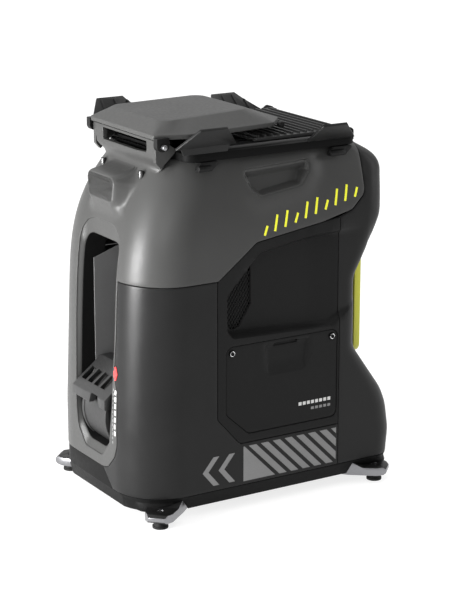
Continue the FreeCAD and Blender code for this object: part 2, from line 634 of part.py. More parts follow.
def ribbed_panel():
    """Rear hopper panel: a plate stiffened by crosswise ribs, with two hinge lugs."""
    z = REAR_AXIS[1]
    plate = prism([(-82, -3, 4), (82, -3, 4), (82, 122), (-82, 122)], "XY", z - 1.5, z + 2)
    ribs = [box(-79, 79, 2 + 9.6 * k, 4.2 + 9.6 * k, z + 2, z + 4.5) for k in range(13)]
    shape = fuse([plate] + ribs)
    lugs = []
    for x in (70.0, -82.0):
        lug = [(110, z - 1.5), (124, z - 4), (128, z, 3), (124, z + 4), (110, z + 2)]
        lugs.append(prism(lug, "YZ", x, x + 12))
    shape = fuse([shape] + lugs)
    shape = shape.cut(rod_x(-95, 95, REAR_AXIS[0], REAR_AXIS[1], 2.5 + RUN))
    put("ribbed_panel", shape)


def flaps():
    """Mitred side flaps that lie under the lid and the ribbed panel."""
    x_hinge, z = FLAP_AXIS
    plate = prism([(x_hinge, -91), (6, -30), (6, 26), (x_hinge, 108)], "XY", z - 1.8, z + 1.8)
    knuckle = rod_y(-91, 108, x_hinge, z, 3.4)
    ribs = [box(20 + 12 * k, 22 + 12 * k, -36, 30, z + 1.8, z + 2.9) for k in range(5)]
    shape = fuse([plate, knuckle] + ribs).cut(rod_y(-120, 130, x_hinge, z, 2.0 + RUN))
    put("right_flap", shape)
    put("left_flap", mirror_x(shape))


# ------------------------------------------------------------------ electrics
def hatches():
    plate = hatch_region(111.0, 114.2)
    scoop = prism([(-4, 166, 6), (50, 166, 6), (55, 215), (-8, 215)], "YZ", 112.6, 120)
    slot = rounded_box(100, 120, 4, 38, 197, 201, 1.9, "YZ")
    holes = [rod_x(100, 120, y, 197, 2.0) for y in (-55, 87)]
    plate = cut(plate, [scoop, slot] + holes)
    screws = []
    for y in (-55, 87):
        head = rod_x(114.2, 115.6, y, 197, 3.4).cut(rod_x(115.0, 116, y, 197, 1.5))
        screws.append(head.fuse(rod_x(110.5, 114.2, y, 197, 2.0)).removeSplitter())
    put("hatch_right", plate)
    put("hatch_left", mirror_x(plate))
    screw_pair = group(screws)
    put("hatch_screws_right", screw_pair)
    put("hatch_screws_left", mirror_x(screw_pair))


def electrics():
    module = rounded_box(70, 91.5, -22, 58, 100, 180, 4, "YZ")
    put("plug_in_modules", group([module, mirror_x(module)]))
    board = box(-45, 45, 106, 108, 46, 118)
    chip_places = ((-36, 22, 80, 22), (-4, 14, 92, 14), (18, 16, 60, 24))
    chips = [box(x, x + wide, 103, 106, z, z + tall) for x, wide, z, tall in chip_places]
    put("main_board", fuse([board] + chips))

    bay_outer = rounded_box(-59.2, 59.2, 101.6, 126.5, 134.3, 305.7, 4, "XZ")
    bay = bay_outer.cut(rounded_box(-57, 57, 103.6, 140, 136.5, 303.5, 3, "XZ"))
    put("battery_bay", bay)
    side = [(104.2, 138, 3), (150, 138, 6), (158, 150, 6), (158, 292, 6), (150, 302, 6), (104.2, 302, 3)]
    pack = prism(side, "YZ", -56, 56).common(rounded_box(-56, 56, 90, 170, 130, 310, 6, "XZ"))
    pack = pack.cut(rounded_box(-42, 42, 144, 170, 168, 296, 8, "XZ"))
    pack = pack.cut(box(-16, 16, 147.5, 170, 130, 152))
    put("battery_pack", pack)
    grip = rounded_box(-60, 60, 158, 167, 150, 300, 12, "XZ")
    grip = grip.cut(rounded_box(-49, 49, 150, 175, 161, 289, 8, "XZ"))
    latch_travel = box(-16, 16, 148, 165, 148, 152)
    put("battery_grip", cut(grip, [pack, latch_travel]))
    latch = prism([(150.5, 139, 1), (163, 139, 2), (164, 149.2, 2), (150.5, 149.2, 1)], "YZ", -15.5, 15.5)
    put("battery_latch", latch)

    put("camera_pod", camera_pod_tool().cut(rounded_box(-24, 24, -170, -163.4, 376, 400, 4, "XZ")))
    put("camera_window", rounded_box(-23.8, 23.8, -165.0, -163.6, 376.2, 399.8, 4, "XZ"))
    ring = rod_y(163, 174.5, 0, 372, 12).cut(rod_y(160, 178, 0, 372, 9.0 + RUN))
    put("power_button_ring", ring)
    put("power_button", rod_y(166, 176, 0, 372, 9.0))
    port = rounded_box(-15.8, 15.8, 179, REACH - 0.8, 58.2, 77.8, 3, "XZ")
    put("charge_port", port.cut(rod_y(182, 190, 0, 68, 4.0)))


# ------------------------------------------------------------------ output
NODES = {}


def put(name, shape):
    NODES[name] = shape


def build():
    outer = covers()
    base(stance())
    chassis()
    cheeks_and_servo()
    launcher()
    feed()
    hopper_bowl()
    hopper_frame()
    wings()
    brackets()
    yoke(outer)
    lid()
    ribbed_panel()
    flaps()
    hatches()
    electrics()


def export():
    os.makedirs("parts", exist_ok=True)
    for name, shape in NODES.items():
        solids = shape.Solids
        good = bool(solids) and all(s.isValid() and s.Volume > 0 for s in solids)
        b = shape.BoundBox
        print("%-22s %d solids %8.1f cm3 %s  x %.1f..%.1f y %.1f..%.1f z %.1f..%.1f" % (
            name, len(solids), shape.Volume / 1000, "ok" if good else "BAD",
            b.XMin, b.XMax, b.YMin, b.YMax, b.ZMin, b.ZMax))
        whole = solids[0] if len(solids) == 1 else Part.makeCompound(solids)
        whole.exportStep("parts/%s.step" % name)


build()
export()
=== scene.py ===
import json
import math
import bmesh
import bpy
import numpy as np
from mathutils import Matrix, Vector
from mathutils.geometry import delaunay_2d_cdt

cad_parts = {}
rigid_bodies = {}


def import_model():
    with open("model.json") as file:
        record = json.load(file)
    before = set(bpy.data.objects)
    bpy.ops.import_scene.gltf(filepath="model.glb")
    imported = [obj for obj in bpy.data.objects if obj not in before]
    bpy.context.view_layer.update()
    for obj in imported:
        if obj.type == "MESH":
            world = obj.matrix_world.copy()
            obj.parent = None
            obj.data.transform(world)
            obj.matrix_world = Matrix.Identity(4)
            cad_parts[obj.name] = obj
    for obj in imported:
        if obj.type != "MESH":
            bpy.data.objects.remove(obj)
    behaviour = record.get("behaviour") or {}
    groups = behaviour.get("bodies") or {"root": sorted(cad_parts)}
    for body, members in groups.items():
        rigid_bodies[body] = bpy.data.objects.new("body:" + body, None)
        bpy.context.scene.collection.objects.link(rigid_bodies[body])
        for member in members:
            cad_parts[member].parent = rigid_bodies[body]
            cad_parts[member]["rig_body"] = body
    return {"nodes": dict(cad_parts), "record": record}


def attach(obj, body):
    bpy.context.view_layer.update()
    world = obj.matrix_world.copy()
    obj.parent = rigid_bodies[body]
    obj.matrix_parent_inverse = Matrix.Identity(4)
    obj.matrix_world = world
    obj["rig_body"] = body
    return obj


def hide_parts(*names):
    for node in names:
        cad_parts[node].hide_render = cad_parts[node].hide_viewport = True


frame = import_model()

# Looks of the tennis ball machine. Lengths are in millimetres unless a name ends in _m.
MM = 0.001
scene = bpy.context.scene
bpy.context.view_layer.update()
node_body = {name: node["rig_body"] for name, node in frame["nodes"].items()}
node_slot = {part["node"]: part["material_slot"] for part in frame["record"]["subparts"]}
replaced = set()        # CAD nodes that a piece of this script stands for

# ---- body form, as in the CAD model apart from FRONT_R ----
HALF_WIDTH = 115.0
SHOULDER = 296.0        # z above which the body narrows
BODY_LOW = 30.0
RIM = 427.0             # z of the upper shell's top edge
FRONT_R = 62.0          # front corner, rounder than the CAD model's TRAY_R to follow the photo's outline
TRAY_R = 50.0
SEAM = 287.0            # z of the seam between the upper and the lower shell
GAP = 0.35              # half the gap between neighbouring panels
LEDGE = 52.0            # z where the satin strip left of the slot ends
FLANK = -95.0           # x of the seam on the left flank, where the smoky cover starts
PANEL_FRONT = -75.0
PANEL_REAR = 98.0
PANEL_LOW = 83.0
PANEL_TOP = 342.9
# (z, y) of the body's rear
REAR_LINE = [(30, 184), (60, 187), (94, 182), (114, 174), (176, 127), (266, 127), (338, 170),
             (398, 176), (412, 166), (427, 136)]

# nominal lengths of the unrolled stretches: half the front, corner, side, rear corner, half the back
FLAT, ARC, SIDE, TAIL, BACK = 65.0, 78.5, 240.0, 32.0, 90.0
S_ARC = FLAT
S_SIDE = S_ARC + ARC
S_TAIL = S_SIDE + SIDE
S_BACK = S_TAIL + TAIL
S_END = S_BACK + BACK


# ---- body surface ----
def follow(points, z, reach=7.0):
    """Straight-line values through (z, value) points, with the bends rounded over +-reach."""
    levels, values = zip(*points)
    steps = np.linspace(-reach, reach, 15)
    return np.mean([np.interp(z + step, levels, values) for step in steps], axis=0)


def front_y(z):
    """Y of the body's front: a slight lean at mid height, closing backwards towards the rim."""
    closing = np.clip((z - 250.0) / (RIM - 250.0), 0.0, None)
    return -180.0 + 6.0 * np.clip(z - 110.0, 0.0, None) / 140.0 + 45.0 * closing ** 2.9


def rear_y(z):
    """Y of the body's rear, with the waist."""
    return follow(REAR_LINE, z)


def half_width(z):
    """Half the body's width, closing above the shoulder."""
    closing = np.clip((z - SHOULDER) / (RIM - SHOULDER), 0.0, None)
    return HALF_WIDTH - 25.0 * closing ** 2.4


def rear_radius(z):
    """Radius of the body's upright rear corners."""
    return follow([(114, 28), (176, 20), (266, 20), (338, 30), (380, 30), (427, 24)], z)


def surface(s, z):
    """Points of the body's outer face. s runs round the body in mm, from the middle of the front."""
    s = np.asarray(s, float)
    z = np.broadcast_to(np.asarray(z, float), s.shape)
    u = np.abs(s)
    beyond = u > S_END
    u = np.where(beyond, 2 * S_END - u, u)
    sign = np.where(beyond, -1.0, 1.0) * np.where(s < 0, -1.0, 1.0)
    half, front, rear, radius = half_width(z), front_y(z), rear_y(z), rear_radius(z)
    a = np.clip((u - S_ARC) / ARC, 0, 1) * math.pi / 2
    b = np.clip((u - S_TAIL) / TAIL, 0, 1) * math.pi / 2
    flat = half - FRONT_R
    side = np.clip((u - S_SIDE) / SIDE, 0, 1)
    back = np.clip((u - S_BACK) / BACK, 0, 1)
    where = [u <= S_ARC, u <= S_SIDE, u <= S_TAIL, u <= S_BACK]
    x = np.select(where, [u / FLAT * flat, flat + FRONT_R * np.sin(a), half,
                          half - radius + radius * np.cos(b)], (half - radius) * (1 - back))
    y = np.select(where, [front, front + FRONT_R * (1 - np.cos(a)),
                          front + FRONT_R + side * (rear - radius - front - FRONT_R),
                          rear - radius + radius * np.sin(b)], rear)
    return np.column_stack([x * sign, y, z])


def outward(form, s, z):
    """Unit normals of a face given by form(s, z)."""
    step = 0.6
    along = form(s + step, z) - form(s - step, z)
    up = form(s, z + step) - form(s, z - step)
    normal = np.cross(along, up)
    return normal / np.linalg.norm(normal, axis=1)[:, None]


def side_s(y, z):
    """Unrolled coordinate of points given by y and z on the right side."""
    front, rear, radius = front_y(z), rear_y(z), rear_radius(z)
    corner = front + FRONT_R
    a = np.arccos(np.clip((corner - y) / FRONT_R, 0, 1))
    b = np.arcsin(np.clip((y - rear + radius) / radius, 0, 1))
    share = (y - corner) / (rear - radius - corner)
    return np.where(y < corner, S_ARC + a / (math.pi / 2) * ARC,
                    np.where(share > 1, S_TAIL + b / (math.pi / 2) * TAIL, S_SIDE + share * SIDE))


def front_s(x, z):
    """Unrolled coordinate of points given by x and z on the front."""
    flat = half_width(z) - FRONT_R
    a = np.arcsin(np.clip((np.abs(x) - flat) / FRONT_R, 0, 1))
    round_corner = S_ARC + a / (math.pi / 2) * ARC
    return np.sign(x) * np.where(np.abs(x) <= flat, np.abs(x) / flat * FLAT, round_corner)


def rear_s(x, z):
    """Unrolled coordinate of points given by x and z on the back."""
    half = half_width(z) - rear_radius(z)
    u = S_END - np.abs(x) / half * BACK
    return np.where(x >= 0, u, 2 * S_END - u)


# ---- outlines ----
def corner_arc(before, corner, after, radius):
    """Points of the arc that rounds a corner."""
    a = (before - corner) / np.linalg.norm(before - corner)
    b = (after - corner) / np.linalg.norm(after - corner)
    half = math.acos(max(-1.0, min(1.0, float(a @ b)))) / 2
    if radius <= 0 or half > math.pi / 2 - 0.02:
        return [corner]
    centre = corner + (a + b) / np.linalg.norm(a + b) * radius / math.sin(half)
    start = corner + a * radius / math.tan(half) - centre
    stop = corner + b * radius / math.tan(half) - centre
    turn = math.atan2(start[0] * stop[1] - start[1] * stop[0], float(start @ stop))
    steps = max(4, math.ceil(abs(turn) * radius / 1.1))
    spin = [math.atan2(start[1], start[0]) + turn * k / steps for k in range(steps + 1)]
    return [centre + radius * np.array([math.cos(t), math.sin(t)]) for t in spin]


def trace(points, closed=True):
    """Even polyline through (a, b, radius) corners; a corner without a radius stays sharp."""
    corners = [np.array(p[:2], float) for p in points]
    radii = [p[2] if len(p) > 2 else 0.0 for p in points]
    count = len(corners)
    line = []
    for i in range(count):
        if not closed and i in (0, count - 1):
            line.append(corners[i])
        else:
            line += corner_arc(corners[i - 1], corners[i], corners[(i + 1) % count], radii[i])
    dense = []
    pairs = list(zip(line, line[1:] + line[:1])) if closed else list(zip(line, line[1:]))
    for p, q in pairs:
        length = float(np.linalg.norm(q - p))
        if length < 0.05:
            continue
        steps = max(1, math.ceil(length / 3.0))
        dense += [p + (q - p) * k / steps for k in range(steps)]
    if not closed:
        dense.append(line[-1])
    return np.array(dense)


def on_side(line, sign=1):
    """Unrolled outline from (y, z) points on the right side, or the left one with sign -1."""
    return np.column_stack([sign * side_s(line[:, 0], line[:, 1]), line[:, 1]])


def on_front(line):
    """Unrolled outline from (x, z) points on the front."""
    return np.column_stack([front_s(line[:, 0], line[:, 1]), line[:, 1]])


def on_rear(line):
    """Unrolled outline from (x, z) points on the back."""
    return np.column_stack([rear_s(line[:, 0], line[:, 1]), line[:, 1]])


def turned(loop, ccw=True):
    """Loop running counter-clockwise, or clockwise."""
    x, y = loop.T
    area = float(np.sum(x * np.roll(y, -1) - np.roll(x, -1) * y))
    return loop if (area > 0) == ccw else loop[::-1]


def shifted(loop, distance):
    """Loop moved to its left by distance."""
    ahead = np.roll(loop, -1, axis=0) - loop
    ahead /= np.linalg.norm(ahead, axis=1)[:, None]
    left = np.column_stack([-ahead[:, 1], ahead[:, 0]])
    middle = left + np.roll(left, 1, axis=0)
    middle /= np.maximum(np.linalg.norm(middle, axis=1)[:, None], 1e-6)
    scale = np.maximum(np.sum(middle * left, axis=1), 0.4)
    return loop + middle * (distance / scale)[:, None]


def inside(points, loop):
    """Which points lie inside a closed polyline."""
    x, y = points[:, 0][:, None], points[:, 1][:, None]
    x0, y0 = loop.T
    x1, y1 = np.roll(loop, -1, axis=0).T
    crosses = (y0 > y) != (y1 > y)
    rise = np.where(np.abs(y1 - y0) < 1e-9, 1e-9, y1 - y0)
    return np.sum(crosses & (x < x0 + (y - y0) * (x1 - x0) / rise), axis=1) % 2 == 1


def distance(points, loop):
    """Distance of each point to a closed polyline."""
    start = loop
    run = np.roll(loop, -1, axis=0) - loop
    length = np.maximum(np.sum(run * run, axis=1), 1e-9)
    best = np.full(len(points), 1e9)
    for k in range(0, len(points), 2000):
        block = points[k:k + 2000]
        to = block[:, None, :] - start[None]
        share = np.clip(np.sum(to * run[None], axis=2) / length[None], 0, 1)
        gap = to - share[:, :, None] * run[None]
        best[k:k + 2000] = np.sqrt(np.min(np.sum(gap * gap, axis=2), axis=1))
    return best


def evenly(line, count):
    """Closed polyline as count evenly spaced points."""
    closed = np.vstack([line, line[:1]])
    run = np.concatenate([[0], np.cumsum(np.linalg.norm(np.diff(closed, axis=0), axis=1))])
    at = np.linspace(0, run[-1], count, endpoint=False)
    return np.column_stack([np.interp(at, run, closed[:, 0]), np.interp(at, run, closed[:, 1])])


def smooth(t):
    """Soft step from 0 to 1."""
    t = np.clip(t, 0.0, 1.0)
    return t * t * (3 - 2 * t)


# ---- meshes ----
def finish_piece(piece, body, paint, nodes=(), angle=35.0):
    """Shade a new piece, give it its material and tie it to its body."""
    mesh = piece.data
    mesh.shade_smooth()
    mesh.set_sharp_from_angle(angle=math.radians(angle))
    mesh.materials.clear()
    mesh.materials.append(PAINTS[paint])
    if piece.name not in scene.collection.objects:
        scene.collection.objects.link(piece)
    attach(piece, body)
    if nodes:
        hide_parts(*nodes)
        replaced.update(nodes)
    return piece


def rework(mesh, step):
    """Runs a bmesh step on a mesh."""
    tidy = bmesh.new()
    tidy.from_mesh(mesh)
    step(tidy)
    tidy.to_mesh(mesh)
    tidy.free()


def drop_loose(tidy):
    bmesh.ops.delete(tidy, geom=[v for v in tidy.verts if not v.link_faces], context="VERTS")


def merge_flat(tidy):
    bmesh.ops.remove_doubles(tidy, verts=tidy.verts, dist=2e-6)
    bmesh.ops.dissolve_limit(tidy, angle_limit=math.radians(0.6), verts=tidy.verts, edges=tidy.edges)


def mesh_piece(name, points, faces):
    """New object from points in mm and faces."""
    mesh = bpy.data.meshes.new(name)
    corners = [tuple(p) for p in np.asarray(points) * MM]
    mesh.from_pydata(corners, [], [tuple(int(i) for i in f) for f in faces])
    mesh.validate()
    return bpy.data.objects.new(name, mesh)


def skin_mesh(name, loops, thickness, edge=0.8, relief=None, spacing=4.0, rows=3, creases=(),
              form=surface, warp=None):
    """Closed shell that follows a face between unrolled loops, with rounded edges.

    The first loop is the outline and the others are holes. relief gives each point's depth below the
    face, creases are loops with the offsets at which rows of points follow them, and warp moves finished
    points."""
    loops = [turned(loop, ccw=(k == 0)) for k, loop in enumerate(loops)]
    flat, depth, edges, rims = [], [], [], []
    for loop in loops:
        for row in range(rows + 1):
            angle = row / rows * math.pi / 2
            ring = shifted(loop, edge * (1 - math.cos(angle)) + 0.001 * row)
            start = len(flat)
            flat += [tuple(p) for p in ring]
            depth += [edge * (1 - math.sin(angle))] * len(ring)
            ids = list(range(start, start + len(ring)))
            edges += list(zip(ids, ids[1:] + ids[:1]))
            if row == 0:
                rims.append(ids)
    low = loops[0].min(axis=0)
    high = loops[0].max(axis=0)
    grid_s, grid_z = np.meshgrid(np.arange(low[0] + 1, high[0], spacing),
                                 np.arange(low[1] + 1, high[1], spacing))
    grid_s[1::2] += spacing / 2
    grid = np.column_stack([grid_s.ravel(), grid_z.ravel()])
    for crease, offsets in creases:
        line = turned(crease)
        lanes = [shifted(line, offset) for offset in offsets]
        near = distance(grid, line)
        reach = max(abs(offset) for offset in offsets)
        grid = grid[near > reach + spacing * 0.4]
        grid = np.vstack([grid] + lanes)
    keep = inside(grid, loops[0])
    for loop in loops[1:]:
        keep &= ~inside(grid, loop)
    grid = grid[keep]
    clear = np.min([distance(grid, loop) for loop in loops], axis=0)
    grid = grid[clear > edge + min(1.2, spacing * 0.4)]
    flat += [tuple(p) for p in grid]
    depth += [0.0] * len(grid)
    out = delaunay_2d_cdt([Vector(p) for p in flat], edges, [], 0, 1e-5)
    verts, faces, origin = out[0], out[2], out[3]
    plan = np.array([tuple(v) for v in verts])
    sunk = np.array([depth[o[0]] if o else 0.0 for o in origin])
    faces = np.array([tuple(f) for f in faces])
    centre = plan[faces].mean(axis=1)
    keep = inside(centre, loops[0])
    for loop in loops[1:]:
        keep &= ~inside(centre, loop)
    faces = faces[keep]
    outer = form(plan[:, 0], plan[:, 1])
    normal = outward(form, plan[:, 0], plan[:, 1])
    if relief is not None:
        sunk = sunk + relief(outer)
    points = outer - normal * sunk[:, None]
    backs = outer - normal * (np.maximum(sunk, 0) + thickness)[:, None]
    if warp is not None:
        points, backs = warp(points), warp(backs)
    count = len(points)
    place = {o[0]: k for k, o in enumerate(origin) if o}
    all_faces = [tuple(f) for f in faces] + [tuple(f[::-1] + count) for f in faces]
    for ids in rims:
        ids = [place[i] for i in ids if i in place]
        all_faces += [(j, i, i + count, j + count) for i, j in zip(ids, ids[1:] + ids[:1]) if i != j]
    piece = mesh_piece(name, np.vstack([points, backs]), all_faces)
    rework(piece.data, drop_loose)
    return piece


def band_mesh(name, rings):
    """Tube of faces through rings of equal length; each ring is a closed line of 3-D points."""
    count = len(rings[0])
    points = np.vstack(rings)
    faces = []
    for a, b in zip(range(len(rings)), list(range(1, len(rings))) + [0]):
        for i in range(count):
            j = (i + 1) % count
            faces.append((a * count + i, a * count + j, b * count + j, b * count + i))
    piece = mesh_piece(name, points, faces)
    rework(piece.data, lambda tidy: bmesh.ops.recalc_face_normals(tidy, faces=tidy.faces))
    return piece


def softened(node, paint, width=0.6, warp=None):
    """The CAD node's shape with flat faces merged and sharp edges rounded; warp moves its points first."""
    mesh = frame["nodes"][node].data.copy()
    if warp is not None:
        for vertex in mesh.vertices:
            vertex.co = warp(vertex.co)
    mesh.name = node + "_soft"
    rework(mesh, merge_flat)
    rough = bpy.data.objects.new(node + "_rough", mesh)
    scene.collection.objects.link(rough)
    bevel = rough.modifiers.new("edges", "BEVEL")
    bevel.width = width * MM
    bevel.segments = 2
    bevel.limit_method = "ANGLE"
    bevel.angle_limit = math.radians(32)
    bevel.use_clamp_overlap = True
    bpy.context.view_layer.update()
    graph = bpy.context.evaluated_depsgraph_get()
    final = bpy.data.meshes.new_from_object(rough.evaluated_get(graph))
    bpy.data.objects.remove(rough)
    piece = bpy.data.objects.new(node + "_shape", final)
    return finish_piece(piece, node_body[node], paint, [node])


# ---- materials ----
def ramp_between(tree, fac, low, high, dark, light):
    """Maps fac from low..high to dark..light."""
    node = tree.nodes.new("ShaderNodeMapRange")
    node.inputs["From Min"].default_value = low
    node.inputs["From Max"].default_value = high
    node.inputs["To Min"].default_value = dark
    node.inputs["To Max"].default_value = light
    tree.links.new(fac, node.inputs["Value"])
    return node.outputs["Result"]


def noise(tree, coords, scale, detail=3.0, rough=0.55, stretch=None):
    """Noise value at the coordinates, which may be stretched."""
    if stretch is not None:
        mapping = tree.nodes.new("ShaderNodeMapping")
        mapping.inputs["Scale"].default_value = stretch
        tree.links.new(coords, mapping.inputs["Vector"])
        coords = mapping.outputs["Vector"]
    node = tree.nodes.new("ShaderNodeTexNoise")
    node.inputs["Scale"].default_value = scale
    node.inputs["Detail"].default_value = detail
    node.inputs["Roughness"].default_value = rough
    tree.links.new(coords, node.inputs["Vector"])
    return node.outputs["Fac"]


def surface_material(name, color, rough, grain=1500.0, bump=0.25, spread=0.12, metallic=0.0, coat=0.0,
                     brushed=None, specular=0.5, cloud_and_sheen=0.0):
    """Moulded or machined finish: fine grain in the bump, broad unevenness in colour and gloss."""
    paint = bpy.data.materials.new(name)
    paint.use_nodes = True
    tree = paint.node_tree
    link = tree.links.new
    shader = tree.nodes["Principled BSDF"]
    coords = tree.nodes.new("ShaderNodeTexCoord").outputs["Object"]
    fine = noise(tree, coords, grain, 4.0, 0.6, brushed)
    broad = noise(tree, coords, 11.0, 5.0, 0.6)
    specks = noise(tree, coords, 260.0, 2.0, 0.5)
    mix = tree.nodes.new("ShaderNodeMix")
    mix.data_type = "RGBA"
    mix.inputs["A"].default_value = tuple(c * (1 - spread) for c in color) + (1,)
    # the light end of the broad patches is lifted for the smoky shell: faint inner shapes of the plastic and
    # partly painted cloudy reflection
    mix.inputs["B"].default_value = tuple(min(1, c * (1 + spread) + cloud_and_sheen) for c in color) + (1,)
    link(ramp_between(tree, broad, 0.3, 0.7, 0.0, 1.0), mix.inputs["Factor"])
    dust = tree.nodes.new("ShaderNodeMix")
    dust.data_type = "RGBA"
    dust.inputs["B"].default_value = tuple(min(1, c * 1.25 + 0.008) for c in color) + (1,)
    link(mix.outputs["Result"], dust.inputs["A"])
    link(ramp_between(tree, fine, 0.45, 0.75, 0.0, 0.35), dust.inputs["Factor"])
    link(dust.outputs["Result"], shader.inputs["Base Color"])
    uneven = tree.nodes.new("ShaderNodeMath")
    uneven.operation = "ADD"
    link(ramp_between(tree, broad, 0.3, 0.7, rough - 0.04, rough + 0.04), uneven.inputs[0])
    link(ramp_between(tree, specks, 0.35, 0.65, -0.03, 0.03), uneven.inputs[1])
    link(uneven.outputs[0], shader.inputs["Roughness"])
    shader.inputs["Metallic"].default_value = metallic
    shader.inputs["Specular IOR Level"].default_value = specular
    shader.inputs["Coat Weight"].default_value = coat
    shader.inputs["Coat Roughness"].default_value = 0.2
    relief = tree.nodes.new("ShaderNodeBump")
    relief.inputs["Strength"].default_value = bump
    relief.inputs["Distance"].default_value = 0.00008
    link(fine, relief.inputs["Height"])
    link(relief.outputs["Normal"], shader.inputs["Normal"])
    return paint


def grey(level):
    return (level, level, level)


# name: colour, roughness, scale of the grain, bump, spread of the colour, further settings
FINISHES = {
    # smoky shell: its lighter broad patches are faint inner shapes of the translucent plastic and partly
    # painted cloudy reflection
    "smoky_shell": (grey(0.009), 0.34, 2200, 0.0, 0.12,
                    dict(coat=0.03, cloud_and_sheen=0.002, specular=0.16)),
    "satin_shell": ((0.044, 0.044, 0.043), 0.4, 1500, 0.22, 0.05, dict(specular=0.27)),
    "panel_black": (grey(0.009), 0.5, 1500, 0.3, 0.1, dict(specular=0.12)),
    "rear_black": (grey(0.009), 0.44, 1500, 0.3, 0.08, dict(specular=0.2)),
    "base_black": (grey(0.005), 0.5, 1300, 0.35, 0.15, dict(specular=0.08)),
    "trim_black": (grey(0.006), 0.55, 1300, 0.35, 0.15, dict(specular=0.15)),
    "lid_grey": ((0.044, 0.044, 0.043), 0.48, 1400, 0.28, 0.05, dict(specular=0.3)),
    "rib_grey": (grey(0.034), 0.5, 1400, 0.3, 0.08, dict(specular=0.2)),
    "frame_black": (grey(0.007), 0.45, 1400, 0.3, 0.1, dict(specular=0.14)),
    "inner_grey": (grey(0.15), 0.6, 1200, 0.3, 0.08, dict(specular=0.3)),
    "launcher_black": (grey(0.02), 0.42, 1300, 0.3, 0.1, dict(specular=0.4)),
    "leg_metal": (grey(0.006), 0.36, 1100, 0.3, 0.1, dict(specular=0.2)),
    "foot_rubber": (grey(0.01), 0.65, 1500, 0.45, 0.15, dict(specular=0.2)),
    "screw_dark": (grey(0.1), 0.36, 900, 0.2, 0.1, dict(metallic=1.0)),
    "rail_black": (grey(0.004), 0.55, 1300, 0.3, 0.1, dict(specular=0.05)),
    # painted sheen: silver metal for the bright sides of the dark legs
    "leg_side_sheen": ((0.26, 0.26, 0.27), 0.34, 900, 0.2, 0.06, dict(metallic=1.0)),
    "wing_black": (grey(0.009), 0.4, 1400, 0.3, 0.1, dict(specular=0.2)),
    "steel": ((0.3, 0.3, 0.31), 0.34, 900, 0.15, 0.05, dict(metallic=1.0)),
    "motor_metal": ((0.45, 0.45, 0.47), 0.33, 900, 0.25, 0.06,
                    dict(metallic=1.0, brushed=(0.05, 1.0, 1.0))),
    "wheel_rubber": (grey(0.012), 0.55, 900, 0.5, 0.15, {}),
    "grip_yellow": ((0.55, 0.55, 0.02), 0.35, 1500, 0.2, 0.05, dict(coat=0.15)),
    "battery_dark": (grey(0.02), 0.55, 1300, 0.35, 0.1, dict(specular=0.2)),
    "board_green": ((0.02, 0.12, 0.05), 0.35, 600, 0.3, 0.2, {}),
    "window_dark": (grey(0.05), 0.3, 900, 0.1, 0.1, dict(coat=0.3)),
    "signal_ring": ((0.35, 0.36, 0.05), 0.35, 900, 0.2, 0.08, {}),
    "ink_grey": (grey(0.19), 0.55, 700, 0.35, 0.1, {}),
    "ink_white": ((0.62, 0.62, 0.61), 0.55, 900, 0.3, 0.06, {}),
    "ink_dim": (grey(0.2), 0.55, 900, 0.3, 0.06, {}),
    "ink_red": ((0.78, 0.035, 0.035), 0.5, 900, 0.3, 0.06, {}),
    "ink_yellow": ((0.95, 0.95, 0.03), 0.45, 900, 0.3, 0.05, {}),
    # painted highlight: bright metal for the light caught on the rims of the black hatch screws
    "screw_rim_highlight": ((0.72, 0.72, 0.73), 0.24, 900, 0.15, 0.04, dict(metallic=1.0)),
}
PAINTS = {name: surface_material(name, *values, **more) for name, (*values, more) in FINISHES.items()}


# ---- shells ----
def level_run(start, stop, z):
    """Unrolled points along one level, between two s values that have points of their own."""
    step = math.copysign(3.0, stop - start)
    s = np.arange(start + step, stop - step / 3, step)
    return np.column_stack([s, np.full(len(s), z)])


# outlines on the side and the front, as corners with a radius
SEAM_SIDE = [(-74, SEAM, 10), (-21, 327, 12), (72, 340)]
SEAM_UPPER = [(115.6, 350.35, 18), (135.6, 368.35, 14), (135.6, RIM)]
SEAM_REAR = [(116.4, 349.4, 18), (136.4, 367.4, 14), (136.4, RIM)]
SCOOP = [(-62, 224, 8), (-54, 214, 8), (84, 209, 30), (140, 240), (140, 332), (52, 326, 10), (-17, 315, 8),
         (-62, 268, 8)]
GRILLE = [(-54, 272, 3), (-25, 307, 3), (-21, 305, 2), (-20, 250, 3), (-36, 224, 3), (-47, 221, 4),
          (-54, 228, 3)]
HATCH = [(-63, 205, 10), (95, 205, 9), (95, 94, 9), (-32, 94, 8), (-63, 122, 8)]
POCKET = [(-35, 412, 6), (-25, 386, 8), (-12, 377, 8), (47, 385, 10), (61, 401, 8), (63, 416, 6)]
SCREW_Y, SCREW_Z = (-55, 87), 197
FINGER = [(-6, 160, 7), (50, 160, 7), (55, 201, 2), (-9, 201, 2)]
POD_FACE = [(-27, 374, 7), (27, 374, 7), (33, 404, 8), (-33, 404, 8)]
SLOT_SEAM = [(22, LEDGE), (36, 56, 7), (52, 72, 9), (58, 88, 8), (58, 148, 8), (49.2, 172, 5), (52, 222, 30)]
SLOT_FACE = [(22, 66, 12), (40, 86, 14), (44.5, 120, 60), (49, 222, 60), (48.5, 334, 30), (28, 348, 40)]
SLOT_INSIDE = [(20, 75, 10), (38.5, 92, 12), (43.6, 118, 60), (46, 222, 60), (45, 318, 20), (33, 328, 20)]


def grown(points, amount):
    """Outline with every corner moved outwards by amount."""
    line = turned(trace(points), ccw=True)
    return shifted(line, -amount)


def slot_outline(inwards, count=0):
    """Arched outline of the launch slot; inwards goes from 0 at the face to 1 inside."""
    half = [tuple(a + (b - a) * inwards for a, b in zip(p, q)) for p, q in zip(SLOT_FACE, SLOT_INSIDE)]
    line = trace(half + [(-x, z, r) for x, z, r in half[::-1]])
    return evenly(line, count) if count else line


